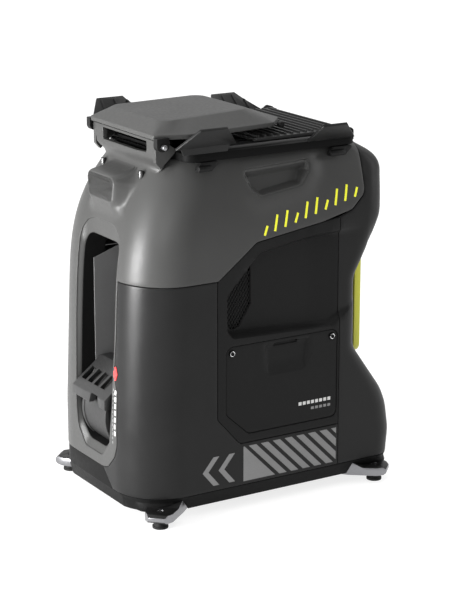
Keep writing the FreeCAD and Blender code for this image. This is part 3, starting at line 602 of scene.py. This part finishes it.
def scoop_relief(points):
    """Depth of the dished recess: deep at its front end, running out at the waist."""
    place = points[:, 1:3]
    outline = trace(SCOOP)
    floor = follow([(-70, 14), (-30, 16), (60, 11), (126, 0), (150, 0)], points[:, 1], 8.0)
    depth = np.where(inside(place, outline), distance(place, outline), 0.0)
    return floor * smooth(depth / 6.5)


def pocket_boss(points):
    """The shell swells a little round the carry grip."""
    outline = trace(POCKET)
    return -0.6 - 2.6 * np.exp(-(distance(points[:, 1:3], outline) / 13.0) ** 2)


def pod_bulge(points):
    """The collar swells forwards into the camera pod: upright face, short top, flaring sides and foot."""
    x, y, z = points.T
    outline = trace(POD_FACE)
    place = np.column_stack([x, z])
    gap = np.where(inside(place, outline), 0.0, distance(place, outline))
    below = smooth((373.0 - z) / 10.0)
    reach = 17.0 + 10.0 * below - 6.0 * smooth((z - 402.0) / 6.0)
    share = (1 - np.clip(gap / reach, 0, 1) ** 1.7) ** 2.6
    face = -166.0 + 0.03 * (z - 373.0)
    moved = points.copy()
    moved[:, 1] = np.where((y < -110) & (y > face), y + (face - y) * share, y)
    return moved


def upper_shell():
    """Satin shell with its strip left of the slot, the collar and the camera pod."""
    right = on_side(trace([(y, z + GAP, *r) for y, z, *r in SEAM_SIDE] + SEAM_UPPER, closed=False))
    seam_z = SEAM + GAP
    slot_side = on_front(trace(SLOT_SEAM + [(52, seam_z)], closed=False))
    bridge = level_run(slot_side[-1, 0], right[0, 0], seam_z)
    top = level_run(right[-1, 0], 0.5, RIM)
    left = right[::-1] * [-1, 1]
    flank = on_front(trace([(FLANK, seam_z), (FLANK, LEDGE + GAP), (22, LEDGE + GAP)], closed=False))
    back = level_run(left[-1, 0], flank[0, 0], seam_z)
    left_top = top[::-1] * [-1, 1]
    loop = np.vstack([slot_side[1:], bridge, right, top, [[0, RIM]], left_top, left, back, flank])
    pockets = [on_side(grown(POCKET, -1.2), sign) for sign in (1, -1)]
    crease = [(pocket, (-2.5, -6, -10, -15)) for pocket in pockets]
    crease.append((on_front(trace(POD_FACE)), (6, 3, 1, 0.1, -0.6, -1.5, -3, -5, -7.5, -10.5, -14)))
    piece = skin_mesh("upper_shell_skin", [loop, on_front(slot_outline(0))] + pockets, 3.0, 0.9,
                      pocket_boss, 4.0, creases=crease, warp=pod_bulge)
    finish_piece(piece, "machine", "satin_shell", ["upper_shell", "camera_pod"])


def lower_shell():
    """Smoky covers: one right of the satin strip, one round the left corner."""
    low, top = BODY_LOW + GAP, SEAM - GAP
    edge = [(PANEL_REAR - GAP, low), (PANEL_REAR - GAP, PANEL_LOW - GAP), (-44, PANEL_LOW - GAP, 8),
            (PANEL_FRONT - GAP, 118, 8), (PANEL_FRONT - GAP, top)]
    side = on_side(trace(edge, closed=False))
    slot_side = on_front(trace([(x + 0.6, z, *r) for x, z, *r in SLOT_SEAM] + [(52.6, top)], closed=False))
    crown = level_run(side[-1, 0], slot_side[-1, 0], top)
    bumper = on_front(trace([(46 + GAP, low), (60, low)], closed=False))
    rest = level_run(bumper[-1, 0], side[0, 0], low)
    right = np.vstack([side, crown, slot_side[::-1], bumper, rest])
    left_end = -float(side_s(np.array([-112.0 + GAP]), np.array([low]))[0])
    flank = on_front(trace([(FLANK - 0.7, top), (FLANK - 0.7, LEDGE + GAP)], closed=False))
    corner = level_run(flank[-1, 0], left_end, LEDGE + GAP)
    far = side * [-1, 1]
    sill = level_run(left_end, far[0, 0], low)
    shoulder = level_run(far[-1, 0], flank[0, 0], top)
    step_down = [[left_end, LEDGE + GAP], [left_end, low]]
    left = np.vstack([flank, corner, step_down, sill, far, shoulder])
    for name, loop in (("right", right), ("left", left)):
        piece = skin_mesh("smoky_cover_" + name, [loop], 3.0, 0.6, None, 4.0)
        finish_piece(piece, "machine", "smoky_shell", ["lower_shell"])


def rear_shell():
    """Rear block with the openings of the battery bay, the power button and the charge inlet."""
    y_edge = PANEL_REAR + GAP
    side = on_side(trace([(y_edge, BODY_LOW + GAP), (y_edge, PANEL_TOP)] + SEAM_REAR, closed=False))
    far = side[::-1] * [-1, 1] + [2 * S_END, 0]
    top = level_run(side[-1, 0], far[0, 0], RIM)
    low = level_run(far[-1, 0], side[0, 0], BODY_LOW + GAP)
    loop = np.vstack([side, top, far, low])
    bay = [(-59.6, 134, 4), (59.6, 134, 4), (59.6, 306, 4), (-59.6, 306, 4)]
    ring = [(-12.3, 359.7, 12), (12.3, 359.7, 12), (12.3, 384.3, 12), (-12.3, 384.3, 12)]
    port = [(-16.1, 57.9, 3), (16.1, 57.9, 3), (16.1, 78.1, 3), (-16.1, 78.1, 3)]
    crease = [(on_side(trace(SCOOP)), (0.3, 2, 4, 6.5))]
    mirrored = [(line * [-1, 1] + [2 * S_END, 0], offsets) for line, offsets in crease]
    loops = [loop] + [on_rear(trace(opening)) for opening in (bay, ring, port)]
    piece = skin_mesh("rear_shell_skin", loops, 3.0, 0.7, scoop_relief, 4.0, creases=crease + mirrored)
    finish_piece(piece, "machine", "rear_black", ["rear_shell"])


def side_panels():
    """Thick side panels with the scoop and openings for the hatch and the grille."""
    outline = trace([(PANEL_FRONT + GAP, SEAM - GAP, 6), (-21, 327 - GAP, 12), (72, 340 - GAP),
                     (PANEL_REAR - GAP, PANEL_TOP), (PANEL_REAR - GAP, PANEL_LOW + GAP),
                     (-44, PANEL_LOW + GAP, 8), (PANEL_FRONT + GAP, 118, 8)])
    for name, sign in (("right", 1), ("left", -1)):
        loops = [on_side(line, sign) for line in (outline, grown(HATCH, 0.45), trace(GRILLE))]
        crease = [(on_side(trace(SCOOP), sign), (0.3, 1.5, 3, 4.5, 6.5))]
        piece = skin_mesh(name + "_panel_skin", loops, 4.0, 0.7, scoop_relief, 3.5, creases=crease)
        finish_piece(piece, "machine", "panel_black", [name + "_side_panel"])


def hatch_relief(points):
    """Hatches lie a little deeper than the panel, with a finger recess that fades out downwards."""
    place = points[:, 1:3]
    outline = trace(FINGER)
    depth = np.where(inside(place, outline), distance(place, outline), 0.0)
    fade = smooth((points[:, 2] - 157) / 22.0)
    return 0.8 + 2.4 * smooth(depth / 3.5) * fade


def hatches():
    """Access hatches with a finger slot and two screw holes."""
    slot = [(4, 197, 1.9), (38, 197, 1.9), (38, 201, 1.9), (4, 201, 1.9)]
    screws = [[(y - 3.9, 193.1, 3.8), (y + 3.9, 193.1, 3.8), (y + 3.9, 200.9, 3.8), (y - 3.9, 200.9, 3.8)]
              for y in SCREW_Y]
    for name, sign in (("right", 1), ("left", -1)):
        loops = [on_side(trace(line), sign) for line in [HATCH, slot] + screws]
        crease = [(on_side(trace(FINGER), sign), (0.3, 1.2, 2.3, 3.5))]
        piece = skin_mesh("hatch_%s_skin" % name, loops, 3.0, 0.7, hatch_relief, 3.5, creases=crease)
        finish_piece(piece, "hatch_" + name, "panel_black", ["hatch_" + name])


def grip_relief(points):
    """Cup of the carry grip: a soft lip, sloping walls and a flat floor."""
    depth = distance(points[:, 1:3], trace(POCKET))
    return -2.9 + 1.2 * (1 - smooth(depth / 1.2)) + 10.5 * smooth((depth - 2.0) / 8.0)


def carry_grips():
    """Cups of the two carry grips."""
    for sign in (1, -1):
        line = on_side(trace(POCKET), sign)
        crease = [(line, (1.6, 3, 4.5, 6, 8, 10))]
        piece = skin_mesh("carry_grip_skin_%d" % sign, [line], 2.0, 0.4, grip_relief, 3.0, creases=crease)
        finish_piece(piece, "machine", "satin_shell", ["carry_grips"])


def slot_walls():
    """Grey funnel of the launch slot and the black lining behind it."""
    # each section point: how far inwards (0 at the face, 1 inside), outward shift, depth behind the face
    funnel = [(0.0, 0, 3.4), (0.0, 0, 0.9), (0.10, 0, 1.6), (0.35, 0, 2.6), (0.75, 0, 4.4), (0.95, 0, 5.6),
              (1.0, 0, 6.3), (1.0, 0, 7.0), (0.8, 0, 7.0), (0.15, 0, 4.6)]
    lining = [(1.0, 1.2, 6.6), (1.0, 1.2, 34.0), (1.0, 0, 34.0), (1.0, 0, 6.6)]
    for name, node, paint, section in (("slot_funnel", "slot_bezel", "satin_shell", funnel),
                                       ("slot_lining", "slot_liner", "trim_black", lining)):
        rings = []
        for inwards, shift, depth in section:
            line = slot_outline(inwards, 240)
            if shift:
                line = shifted(turned(line), -shift)
            rings.append(np.column_stack([line[:, 0], front_y(line[:, 1]) + depth, line[:, 1]]))
        finish_piece(band_mesh(name, rings), "machine", paint, [node])


def launcher_cheeks():
    """Grey plates on both sides of the launcher."""
    line = trace([(-153.5, 62), (-153.5, 292.5), (-113, 306.5), (-113, 62)])
    for k, x in enumerate((-43.2, 42.2)):
        piece = mesh_piece("cheek_panel_%d" % k, *plate(line, x, x + 1))
        finish_piece(piece, "machine", "inner_grey", ["launcher_cheeks"])


def yoke_form(x, z):
    """Front of the yoke: upright at the top, running out into the collar below."""
    x = np.asarray(x, float)
    z = np.broadcast_to(np.asarray(z, float), x.shape)
    upright = -133.5 - 0.02 * (z - 430.0)
    foot = smooth((430.0 - z) / 20.0)
    over = np.clip(np.abs(x) - half_width(z) + FRONT_R, 0, FRONT_R - 1)
    collar = front_y(z) + FRONT_R - np.sqrt(FRONT_R ** 2 - over ** 2)
    return np.column_stack([x, upright + (collar - 0.6 - upright) * foot, z])


def front_yoke():
    """Plate with the slit window, its two ears and the slats behind the window."""
    outline = trace([(-52, 404), (-57.5, 413, 8), (-67, 430, 10), (-71, 444, 10), (-72, 452), (74, 452),
                     (75.5, 441, 8), (76, 432, 4), (72, 420, 6), (58, 404)])
    window = trace([(-51, 434.5, 1), (-51, 448.6), (55, 448.6), (55, 436, 4), (30, 434.5, 30)])
    piece = skin_mesh("yoke_plate", [outline, window], 5.0, 0.7, None, 3.0, form=yoke_form)
    finish_piece(piece, "machine", "satin_shell", ["front_yoke"])
    for side in (-1, 1):
        ear = trace([(-133, 426, 3), (-127, 419), (-108, 436, 4), (-108, 441, 3), (-124, 451.5, 3),
                     (-133, 451.5)])
        piece = mesh_piece("yoke_ear_%d" % side, *plate(ear, side * 70.0, side * 76.0))
        finish_piece(piece, "machine", "satin_shell")
    places = [(-116 + 4 * k, 433.5 + 3.6 * k) for k in range(4)]
    slats = mesh_piece("yoke_slats", *bars_x(-60, 60, places, 1.4))
    finish_piece(slats, "machine", "frame_black")


BOX_FACES = [(0, 1, 5, 4), (1, 2, 6, 5), (2, 3, 7, 6), (3, 0, 4, 7), (3, 2, 1, 0), (4, 5, 6, 7)]


def bars_x(x0, x1, places, half):
    """Thin square bars along X at (y, z) places."""
    points, faces = [], []
    for y, z in places:
        start = len(points)
        for x in (x0, x1):
            points += [(x, y - half, z - half), (x, y + half, z - half),
                       (x, y + half, z + half), (x, y - half, z + half)]
        faces += [tuple(start + i for i in f) for f in BOX_FACES]
    return points, faces


LID_Y = -45.0           # y of the lid's middle


def even_ring(points, z, dip=0.0):
    """Closed ring of (x, y, radius) corners at height z, even in angle, dipping towards the rear."""
    count = 260
    x, y = evenly(turned(trace(points)), count).T
    start = int(np.argmin(np.abs(np.arctan2(y - LID_Y, x) + math.pi / 2)))
    x, y = np.roll(x, -start), np.roll(y, -start)
    angle = np.unwrap(np.arctan2(y - LID_Y, x))
    even = np.linspace(angle[0], angle[0] + 2 * math.pi, count, endpoint=False)
    x = np.interp(even, np.append(angle, angle[0] + 2 * math.pi), np.append(x, x[0]))
    y = np.interp(even, np.append(angle, angle[0] + 2 * math.pi), np.append(y, y[0]))
    return np.column_stack([x, y, z - dip * np.clip((2.0 - y) / 110.0, 0, 1.1)])


def scaled(points, amount):
    """Corners moved towards the lid's middle by about amount."""
    share_x, share_y = 1 - amount / 78.0, 1 - amount / 90.0
    return [(x * share_x, LID_Y + (y - LID_Y) * share_y, r) for x, y, r in points]


def front_lid():
    """Lid with a raised plateau, built from rings that rise from its rim to the middle, and its lugs."""
    rim = [(-77, -137, 2.5), (77, -137, 2.5), (92, -98, 4), (76, 26, 4), (50, 49, 4), (-50, 49, 4),
           (-76, 26, 4), (-92, -98, 4)]
    crown = [(-55, -118, 5), (56, -119, 14), (67, -110, 12), (56, -2, 13), (44, 6, 8), (-52, 6, 13),
             (-62, -2, 13), (-64, -110, 8)]
    edge = ((3.0, 455.5), (1.0, 453.4), (0.2, 453.6), (0, 454.2), (0, 458.2), (0.4, 458.9))
    slope = (0.02, 0.25, 0.5, 0.75, 0.93, 0.985)
    plateau = ((1.2, 2.2), (12, 2.2), (40, 2.0), (70, 1.4))
    foot, head = even_ring(scaled(rim, 0.8), 459.1), even_ring(crown, 474.0, dip=2.2)
    rings = [even_ring(scaled(rim, amount), z) for amount, z in edge]
    rings += [foot + (head - foot) * share for share in slope]
    rings += [even_ring(scaled(crown, amount), 474.2, dip=dip) for amount, dip in plateau]
    count = len(rings[0])
    under = [even_ring(scaled(crown, 4), 471.0, dip=2.0), even_ring(scaled(rim, 3.4), 457.0)]
    points = np.vstack(rings + [[(0, LID_Y, 473.4)], [(0, LID_Y, 470.5)]] + under)
    faces = []
    for a in range(len(rings) - 1):
        for i in range(count):
            j = (i + 1) % count
            faces.append((a * count + i, a * count + j, (a + 1) * count + j, (a + 1) * count + i))
    tip, low_tip = len(rings) * count, len(rings) * count + 1
    inner_a, inner_b = low_tip + 1, low_tip + 1 + count
    last = (len(rings) - 1) * count
    for i in range(count):
        j = (i + 1) % count
        faces.append((last + i, last + j, tip))
        faces.append((inner_a + j, inner_a + i, low_tip))
        faces.append((inner_b + j, inner_b + i, inner_a + i, inner_a + j))
        faces.append((j, i, inner_b + i, inner_b + j))
    piece = mesh_piece("front_lid_shell", points, faces)
    finish_piece(piece, "front_lid", "lid_grey", ["front_lid"], angle=22)
    for side in (-1, 1):
        lug = trace([(-137, 440.5, 6.5), (-121, 440.5, 6.5), (-121, 456), (-137, 456)])
        piece = mesh_piece("lid_lug_%d" % side, *plate(lug, side * 77.5, side * 86.0))
        finish_piece(piece, "front_lid", "frame_black")


def screw_rings():
    """Painted highlight: a bright metal ring on the rim of each black hatch screw, round its dark socket,
    for the light the rim catches.
    """
    turn = np.linspace(0, 2 * math.pi, 48, endpoint=False)
    for sign, hatch in ((1, "hatch_right"), (-1, "hatch_left")):
        for k, y in enumerate(SCREW_Y):
            rings = []
            for r, lift in ((2.5, 0.0), (2.5, 0.5), (2.9, 0.8), (3.3, 0.5), (3.3, 0.0)):
                x = np.full(48, sign * (half_width(SCREW_Z) + 0.9 + lift))
                rings.append(np.column_stack([x, y + r * np.cos(turn), SCREW_Z + r * np.sin(turn)]))
            finish_piece(band_mesh("screw_rim_%d_%d" % (k, sign), rings), hatch, "screw_rim_highlight")


def vent_grilles():
    """Crossed slanting bars in the front end of each scoop, over a black filter."""
    outline = trace(GRILLE)
    for sign in (1, -1):
        points, faces = [], []
        for lean in (58, -58):
            direction = np.array([math.cos(math.radians(lean)), math.sin(math.radians(lean))])
            across = np.array([-direction[1], direction[0]])
            for k in range(-20, 21):
                base = np.array([-37, 264]) + across * (k * 3.6)
                reach = np.arange(-70, 70, 0.5)
                line = base + direction * reach[:, None]
                hit = np.where(inside(line, outline))[0]
                if len(hit) < 4:
                    continue
                ends = line[hit[0]] - direction * 0.4, line[hit[-1]] + direction * 0.4
                add_bar(points, faces, ends, across, sign, 98.6 if lean > 0 else 98.2)
        back = mesh_piece("vent_filter_%d" % sign, *plate(grown(GRILLE, 1.0), 93.0 * sign, 95.0 * sign))
        finish_piece(back, "machine", "wheel_rubber")
        piece = mesh_piece("vent_mesh_%d" % sign, points, faces)
        finish_piece(piece, "machine", "frame_black", ["vent_grilles"])


def add_bar(points, faces, ends, across, sign, x):
    """Adds one thin bar between two (y, z) ends, its outer face at x."""
    start = len(points)
    for end in ends:
        for side, depth in ((-0.45, 0), (0.45, 0), (0.45, -1.4), (-0.45, -1.4)):
            place = end + across * side
            points.append(((x + depth) * sign, place[0], place[1]))
    faces += [tuple(start + i for i in (f if sign < 0 else f[::-1])) for f in BOX_FACES]


def plate(line, x0, x1):
    """Flat closed plate with the outline line (y, z) between two x levels."""
    low, high = min(x0, x1), max(x0, x1)
    line = turned(line)
    count = len(line)
    points = [(low, y, z) for y, z in line] + [(high, y, z) for y, z in line]
    faces = [tuple(range(count, 2 * count)), tuple(range(count - 1, -1, -1))]
    faces += [(i, (i + 1) % count, (i + 1) % count + count, i + count) for i in range(count)]
    return points, faces


def tray_side(place):
    """Makes the base band's wall almost upright and gives it the shells' rounder front corners."""
    x, y, z = (c / MM for c in place)
    reach = 5.5 * float(smooth((27.0 - z) / 12.0))
    along, across = abs(x) - HALF_WIDTH + FRONT_R, float(front_y(BODY_LOW)) + FRONT_R - y
    if along > 0 and across > 0:
        size = math.hypot(along, across)
        ux, uy, inner = along / size, across / size, FRONT_R - TRAY_R
        lean = inner * (ux + uy)
        full = lean + math.sqrt(max(lean ** 2 - 2 * inner ** 2 + TRAY_R ** 2, 0.0))
        full = min(full, FRONT_R / max(ux, uy))
        x -= math.copysign(along * (1 - FRONT_R / full), x)
        y += across * (1 - FRONT_R / full)
    x += math.copysign(reach, x) if abs(x) > 85 else 0.0
    y += math.copysign(reach, y) if abs(y) > 125 else 0.0
    return Vector((x * MM, y * MM, z * MM))


def wing_trim(place):
    """Keeps the inner ribs of the hopper's corner plates below the plates' slanted rear ends."""
    x, y, z = (c / MM for c in place)
    front, rear = (-67, -41, 470, 446, 1.0), (96, 123, 460, 439, 24 / 21)
    for y_top, y_end, z_top, z_end, lean in (front, rear):
        limit = z_top - (y - y_top) * (z_top - z_end) / (y_end - y_top)
        if y_top + 0.5 < y < y_end - 0.5 and z > limit - 1:
            drop = z - limit + 1
            x -= math.copysign(drop * lean, x)
            z -= drop
    return Vector((x * MM, y * MM, z * MM))


def corner_plates():
    """The hopper's corner plates, trimmed after their edges are rounded."""
    for node in ("flap_stops_front", "flap_stops_rear"):
        piece = softened(node, "wing_black", 0.25)
        for vertex in piece.data.vertices:
            vertex.co = wing_trim(vertex.co)


def legs():
    """Dark legs with a painted sheen: silver metal on the faces that are close to upright stands in for the
    light on their sides.
    """
    lowest, highest = -0.4, 0.62        # z of the normals of those faces
    for node in ("legs_front", "legs_rear"):
        piece = softened(node, "leg_metal", 1.2)
        piece.data.materials.append(PAINTS["leg_side_sheen"])
        for face in piece.data.polygons:
            if lowest < face.normal.z < highest:
                face.material_index = 1


# ---- printed marks ----
def flush(points):
    return np.zeros(len(points))


def on_hatch(points):
    return np.full(len(points), 0.8)


def on_boss(points):
    """Depth of the shell round the carry grip, none behind the shell's rear end."""
    return np.where(points[:, 1] > 136, 0.0, pocket_boss(points))


def mark(name, line, ink, body="machine", base=flush):
    """Thin printed mark that stands proud of the face whose depth base gives."""
    piece = skin_mesh(name, [line], 0.25, 0.05, lambda p: base(p) - 0.14, 3.0, rows=1)
    finish_piece(piece, body, ink)


def bar(a, b, width):
    """Outline of a straight stroke from a to b."""
    a, b = np.array(a, float), np.array(b, float)
    along = (b - a) / np.linalg.norm(b - a)
    across = np.array([-along[1], along[0]]) * width / 2
    return trace([tuple(corner) for corner in (a - across, b - across, b + across, a + across)])


def clip_band(y0, y1, z0, z1, start, width):
    """One slanted stripe cut to a rectangle; it leans forwards at the top."""
    rise = z1 - z0
    stripe = [(start, z1), (start + width, z1), (start + width + rise, z0), (start + rise, z0)]

    def cut_at(points, limit, keep_above):
        kept = []
        for p, q in zip(points, points[1:] + points[:1]):
            inside_p = (p[0] >= limit) == keep_above
            inside_q = (q[0] >= limit) == keep_above
            if inside_p:
                kept.append(p)
            if inside_p != inside_q:
                share = (limit - p[0]) / (q[0] - p[0])
                kept.append((limit, p[1] + (q[1] - p[1]) * share))
        return kept
    stripe = cut_at(stripe, y0, True)
    return cut_at(stripe, y1, False) if len(stripe) > 2 else []


def side_marks():
    """Stripes and chevrons low on the side, strokes on the collar, dashes on the hatch."""
    z0, z1 = 34.5, 78.5
    wedge = trace([(-39, z0), (-39, z1), (-37.5, z1), (6, z0)])
    mark("stripe_wedge", on_side(wedge), "ink_grey")
    for k in range(8):
        band = clip_band(-39, 95, z0, z1, -31.5 + 17.0 * k, 10.4)
        if len(band) > 2:
            mark("stripe_%d" % k, on_side(trace(band)), "ink_grey")
    for k, y in enumerate((-96, -74)):
        arrow = trace([(y, 55), (y + 15, 73), (y + 23, 73), (y + 8, 55), (y + 23, 37), (y + 15, 37)])
        mark("chevron_%d" % k, on_side(arrow), "ink_grey")
    for k in range(10):
        y, z = -10 + 14.5 * k, 334 + 3.4 * k
        tall = 19.0 if k % 3 else 11.0
        stroke = bar((y, z), (y + 4.5, z + tall), 3.0)
        mark("signal_stroke_%d" % k, on_side(stroke), "ink_yellow", base=on_boss)
    for k, (first, z, width, ink) in enumerate(((40, 118, 4.2, "ink_white"), (58, 110, 3.4, "ink_dim"))):
        last = 88
        count = int((last - first) / 6)
        for n in range(count):
            y = first + (last - first) * n / count
            dash = bar((y, z), (y + 4.2, z), width)
            mark("hatch_dash_%d_%d" % (k, n), on_side(dash), ink, "hatch_right", on_hatch)


def front_marks():
    """Red lozenge and two rows of dashes right of the slot."""
    drop = trace([(53.0, 187, 1.5), (57.5, 176, 2), (53.0, 165, 1.5), (48.5, 176, 2)])
    mark("alert_lozenge", on_front(drop), "ink_red", base=pocket_boss)
    for n in range(7):
        z = 156 - 8.4 * n
        dash = bar((54.6, z), (54.6, z - 5.5), 3.2)
        mark("front_dash_%d" % n, on_front(dash), "ink_white", base=pocket_boss)
    for n in range(13):
        z = 157 - 5.4 * n
        dash = bar((49.4, z), (49.4, z - 3.2), 1.6)
        mark("front_fine_dash_%d" % n, on_front(dash), "ink_dim", base=pocket_boss)


# ---- studio ----
def area_light(name, place, target, size, power, size_y):
    """Rectangular light in metres and watts, aimed at the target and hidden from the camera."""
    lamp = bpy.data.lights.new(name, "AREA")
    lamp.energy = power
    lamp.size = size
    lamp.shape = "RECTANGLE"
    lamp.size_y = size_y
    holder = bpy.data.objects.new(name, lamp)
    holder.location = place
    holder.rotation_euler = (Vector(target) - Vector(place)).to_track_quat("-Z", "Y").to_euler()
    holder.visible_camera = False
    scene.collection.objects.link(holder)


def sky():
    """Bright overhead tent that falls off towards the horizon and towards the machine's right."""
    world = bpy.data.worlds.new("studio_world")
    scene.world = world
    world.use_nodes = True
    tree = world.node_tree
    split = tree.nodes.new("ShaderNodeSeparateXYZ")
    tree.links.new(tree.nodes.new("ShaderNodeTexCoord").outputs["Generated"], split.inputs["Vector"])
    height = ramp_between(tree, split.outputs["Z"], 0.05, 0.85, 0.45, 1.8)
    aside = ramp_between(tree, split.outputs["X"], -0.1, 0.7, 1.0, 0.18)
    product = tree.nodes.new("ShaderNodeMath")
    product.operation = "MULTIPLY"
    tree.links.new(height, product.inputs[0])
    tree.links.new(aside, product.inputs[1])
    tree.links.new(product.outputs[0], tree.nodes["Background"].inputs["Strength"])
    tree.nodes["Background"].inputs["Color"].default_value = (1.0, 1.0, 1.0, 1)


def studio():
    """Floor, sky, lights and the camera, which was matched to the photo."""
    half = 40.0
    mesh = bpy.data.meshes.new("studio_floor")
    corners = [(-half, -half, 0), (half, -half, 0), (half, half, 0), (-half, half, 0)]
    mesh.from_pydata(corners, [], [(0, 1, 2, 3)])
    floor = bpy.data.objects.new("studio_floor", mesh)
    scene.collection.objects.link(floor)
    paper = surface_material("floor_paper", (0.30, 0.30, 0.30), 0.9, 40, 0.02, 0.01, specular=0.0)
    glow = paper.node_tree.nodes["Principled BSDF"].inputs
    glow["Emission Color"].default_value = (1, 1, 1, 1)
    glow["Emission Strength"].default_value = 0.80
    mesh.materials.append(paper)
    sky()
    area_light("key_front", (0.0, -2.3, 0.8), (0, 0, 0.25), 0.6, 26, 1.5)
    area_light("key_low", (-0.05, -1.35, 0.28), (0, 0, 0.26), 0.5, 34, 0.5)
    area_light("side_near", (0.62, -0.62, 0.62), (0.11, -0.06, 0.34), 0.3, 1.2, 0.3)
    area_light("rear_soft", (1.2, 2.2, 1.0), (0, 0.1, 0.2), 0.8, 14, 1.4)
    camera = bpy.data.cameras.new("camera")
    camera.lens = 115.65
    camera.sensor_width = 36.0
    holder = bpy.data.objects.new("camera", camera)
    tilt, turn = 74.4, 58.5
    holder.location = (1.9794, -1.2040, 0.870)
    holder.rotation_euler = (math.radians(tilt), 0, math.radians(turn))
    scene.collection.objects.link(holder)
    scene.camera = holder
    scene.view_settings.view_transform = "Standard"
    scene.view_settings.look = "None"


# ---- build ----
SPECIAL = {"launcher_side_plates": "inner_grey", "yoke_screws": "screw_dark", "hopper_frame": "rail_black",
           "frame_brackets": "frame_black", "hatch_screws_right": "trim_black",
           "hatch_screws_left": "trim_black"}


def build():
    """Shapes of this script first, then the CAD's own shape for every node they do not replace."""
    upper_shell()
    lower_shell()
    rear_shell()
    side_panels()
    hatches()
    carry_grips()
    slot_walls()
    launcher_cheeks()
    front_yoke()
    front_lid()
    vent_grilles()
    side_marks()
    front_marks()
    legs()
    corner_plates()
    softened("base_tray", "base_black", warp=tray_side)
    for node in frame["nodes"]:
        if node not in replaced:
            softened(node, SPECIAL.get(node, node_slot[node]))
    screw_rings()
    studio()


build()
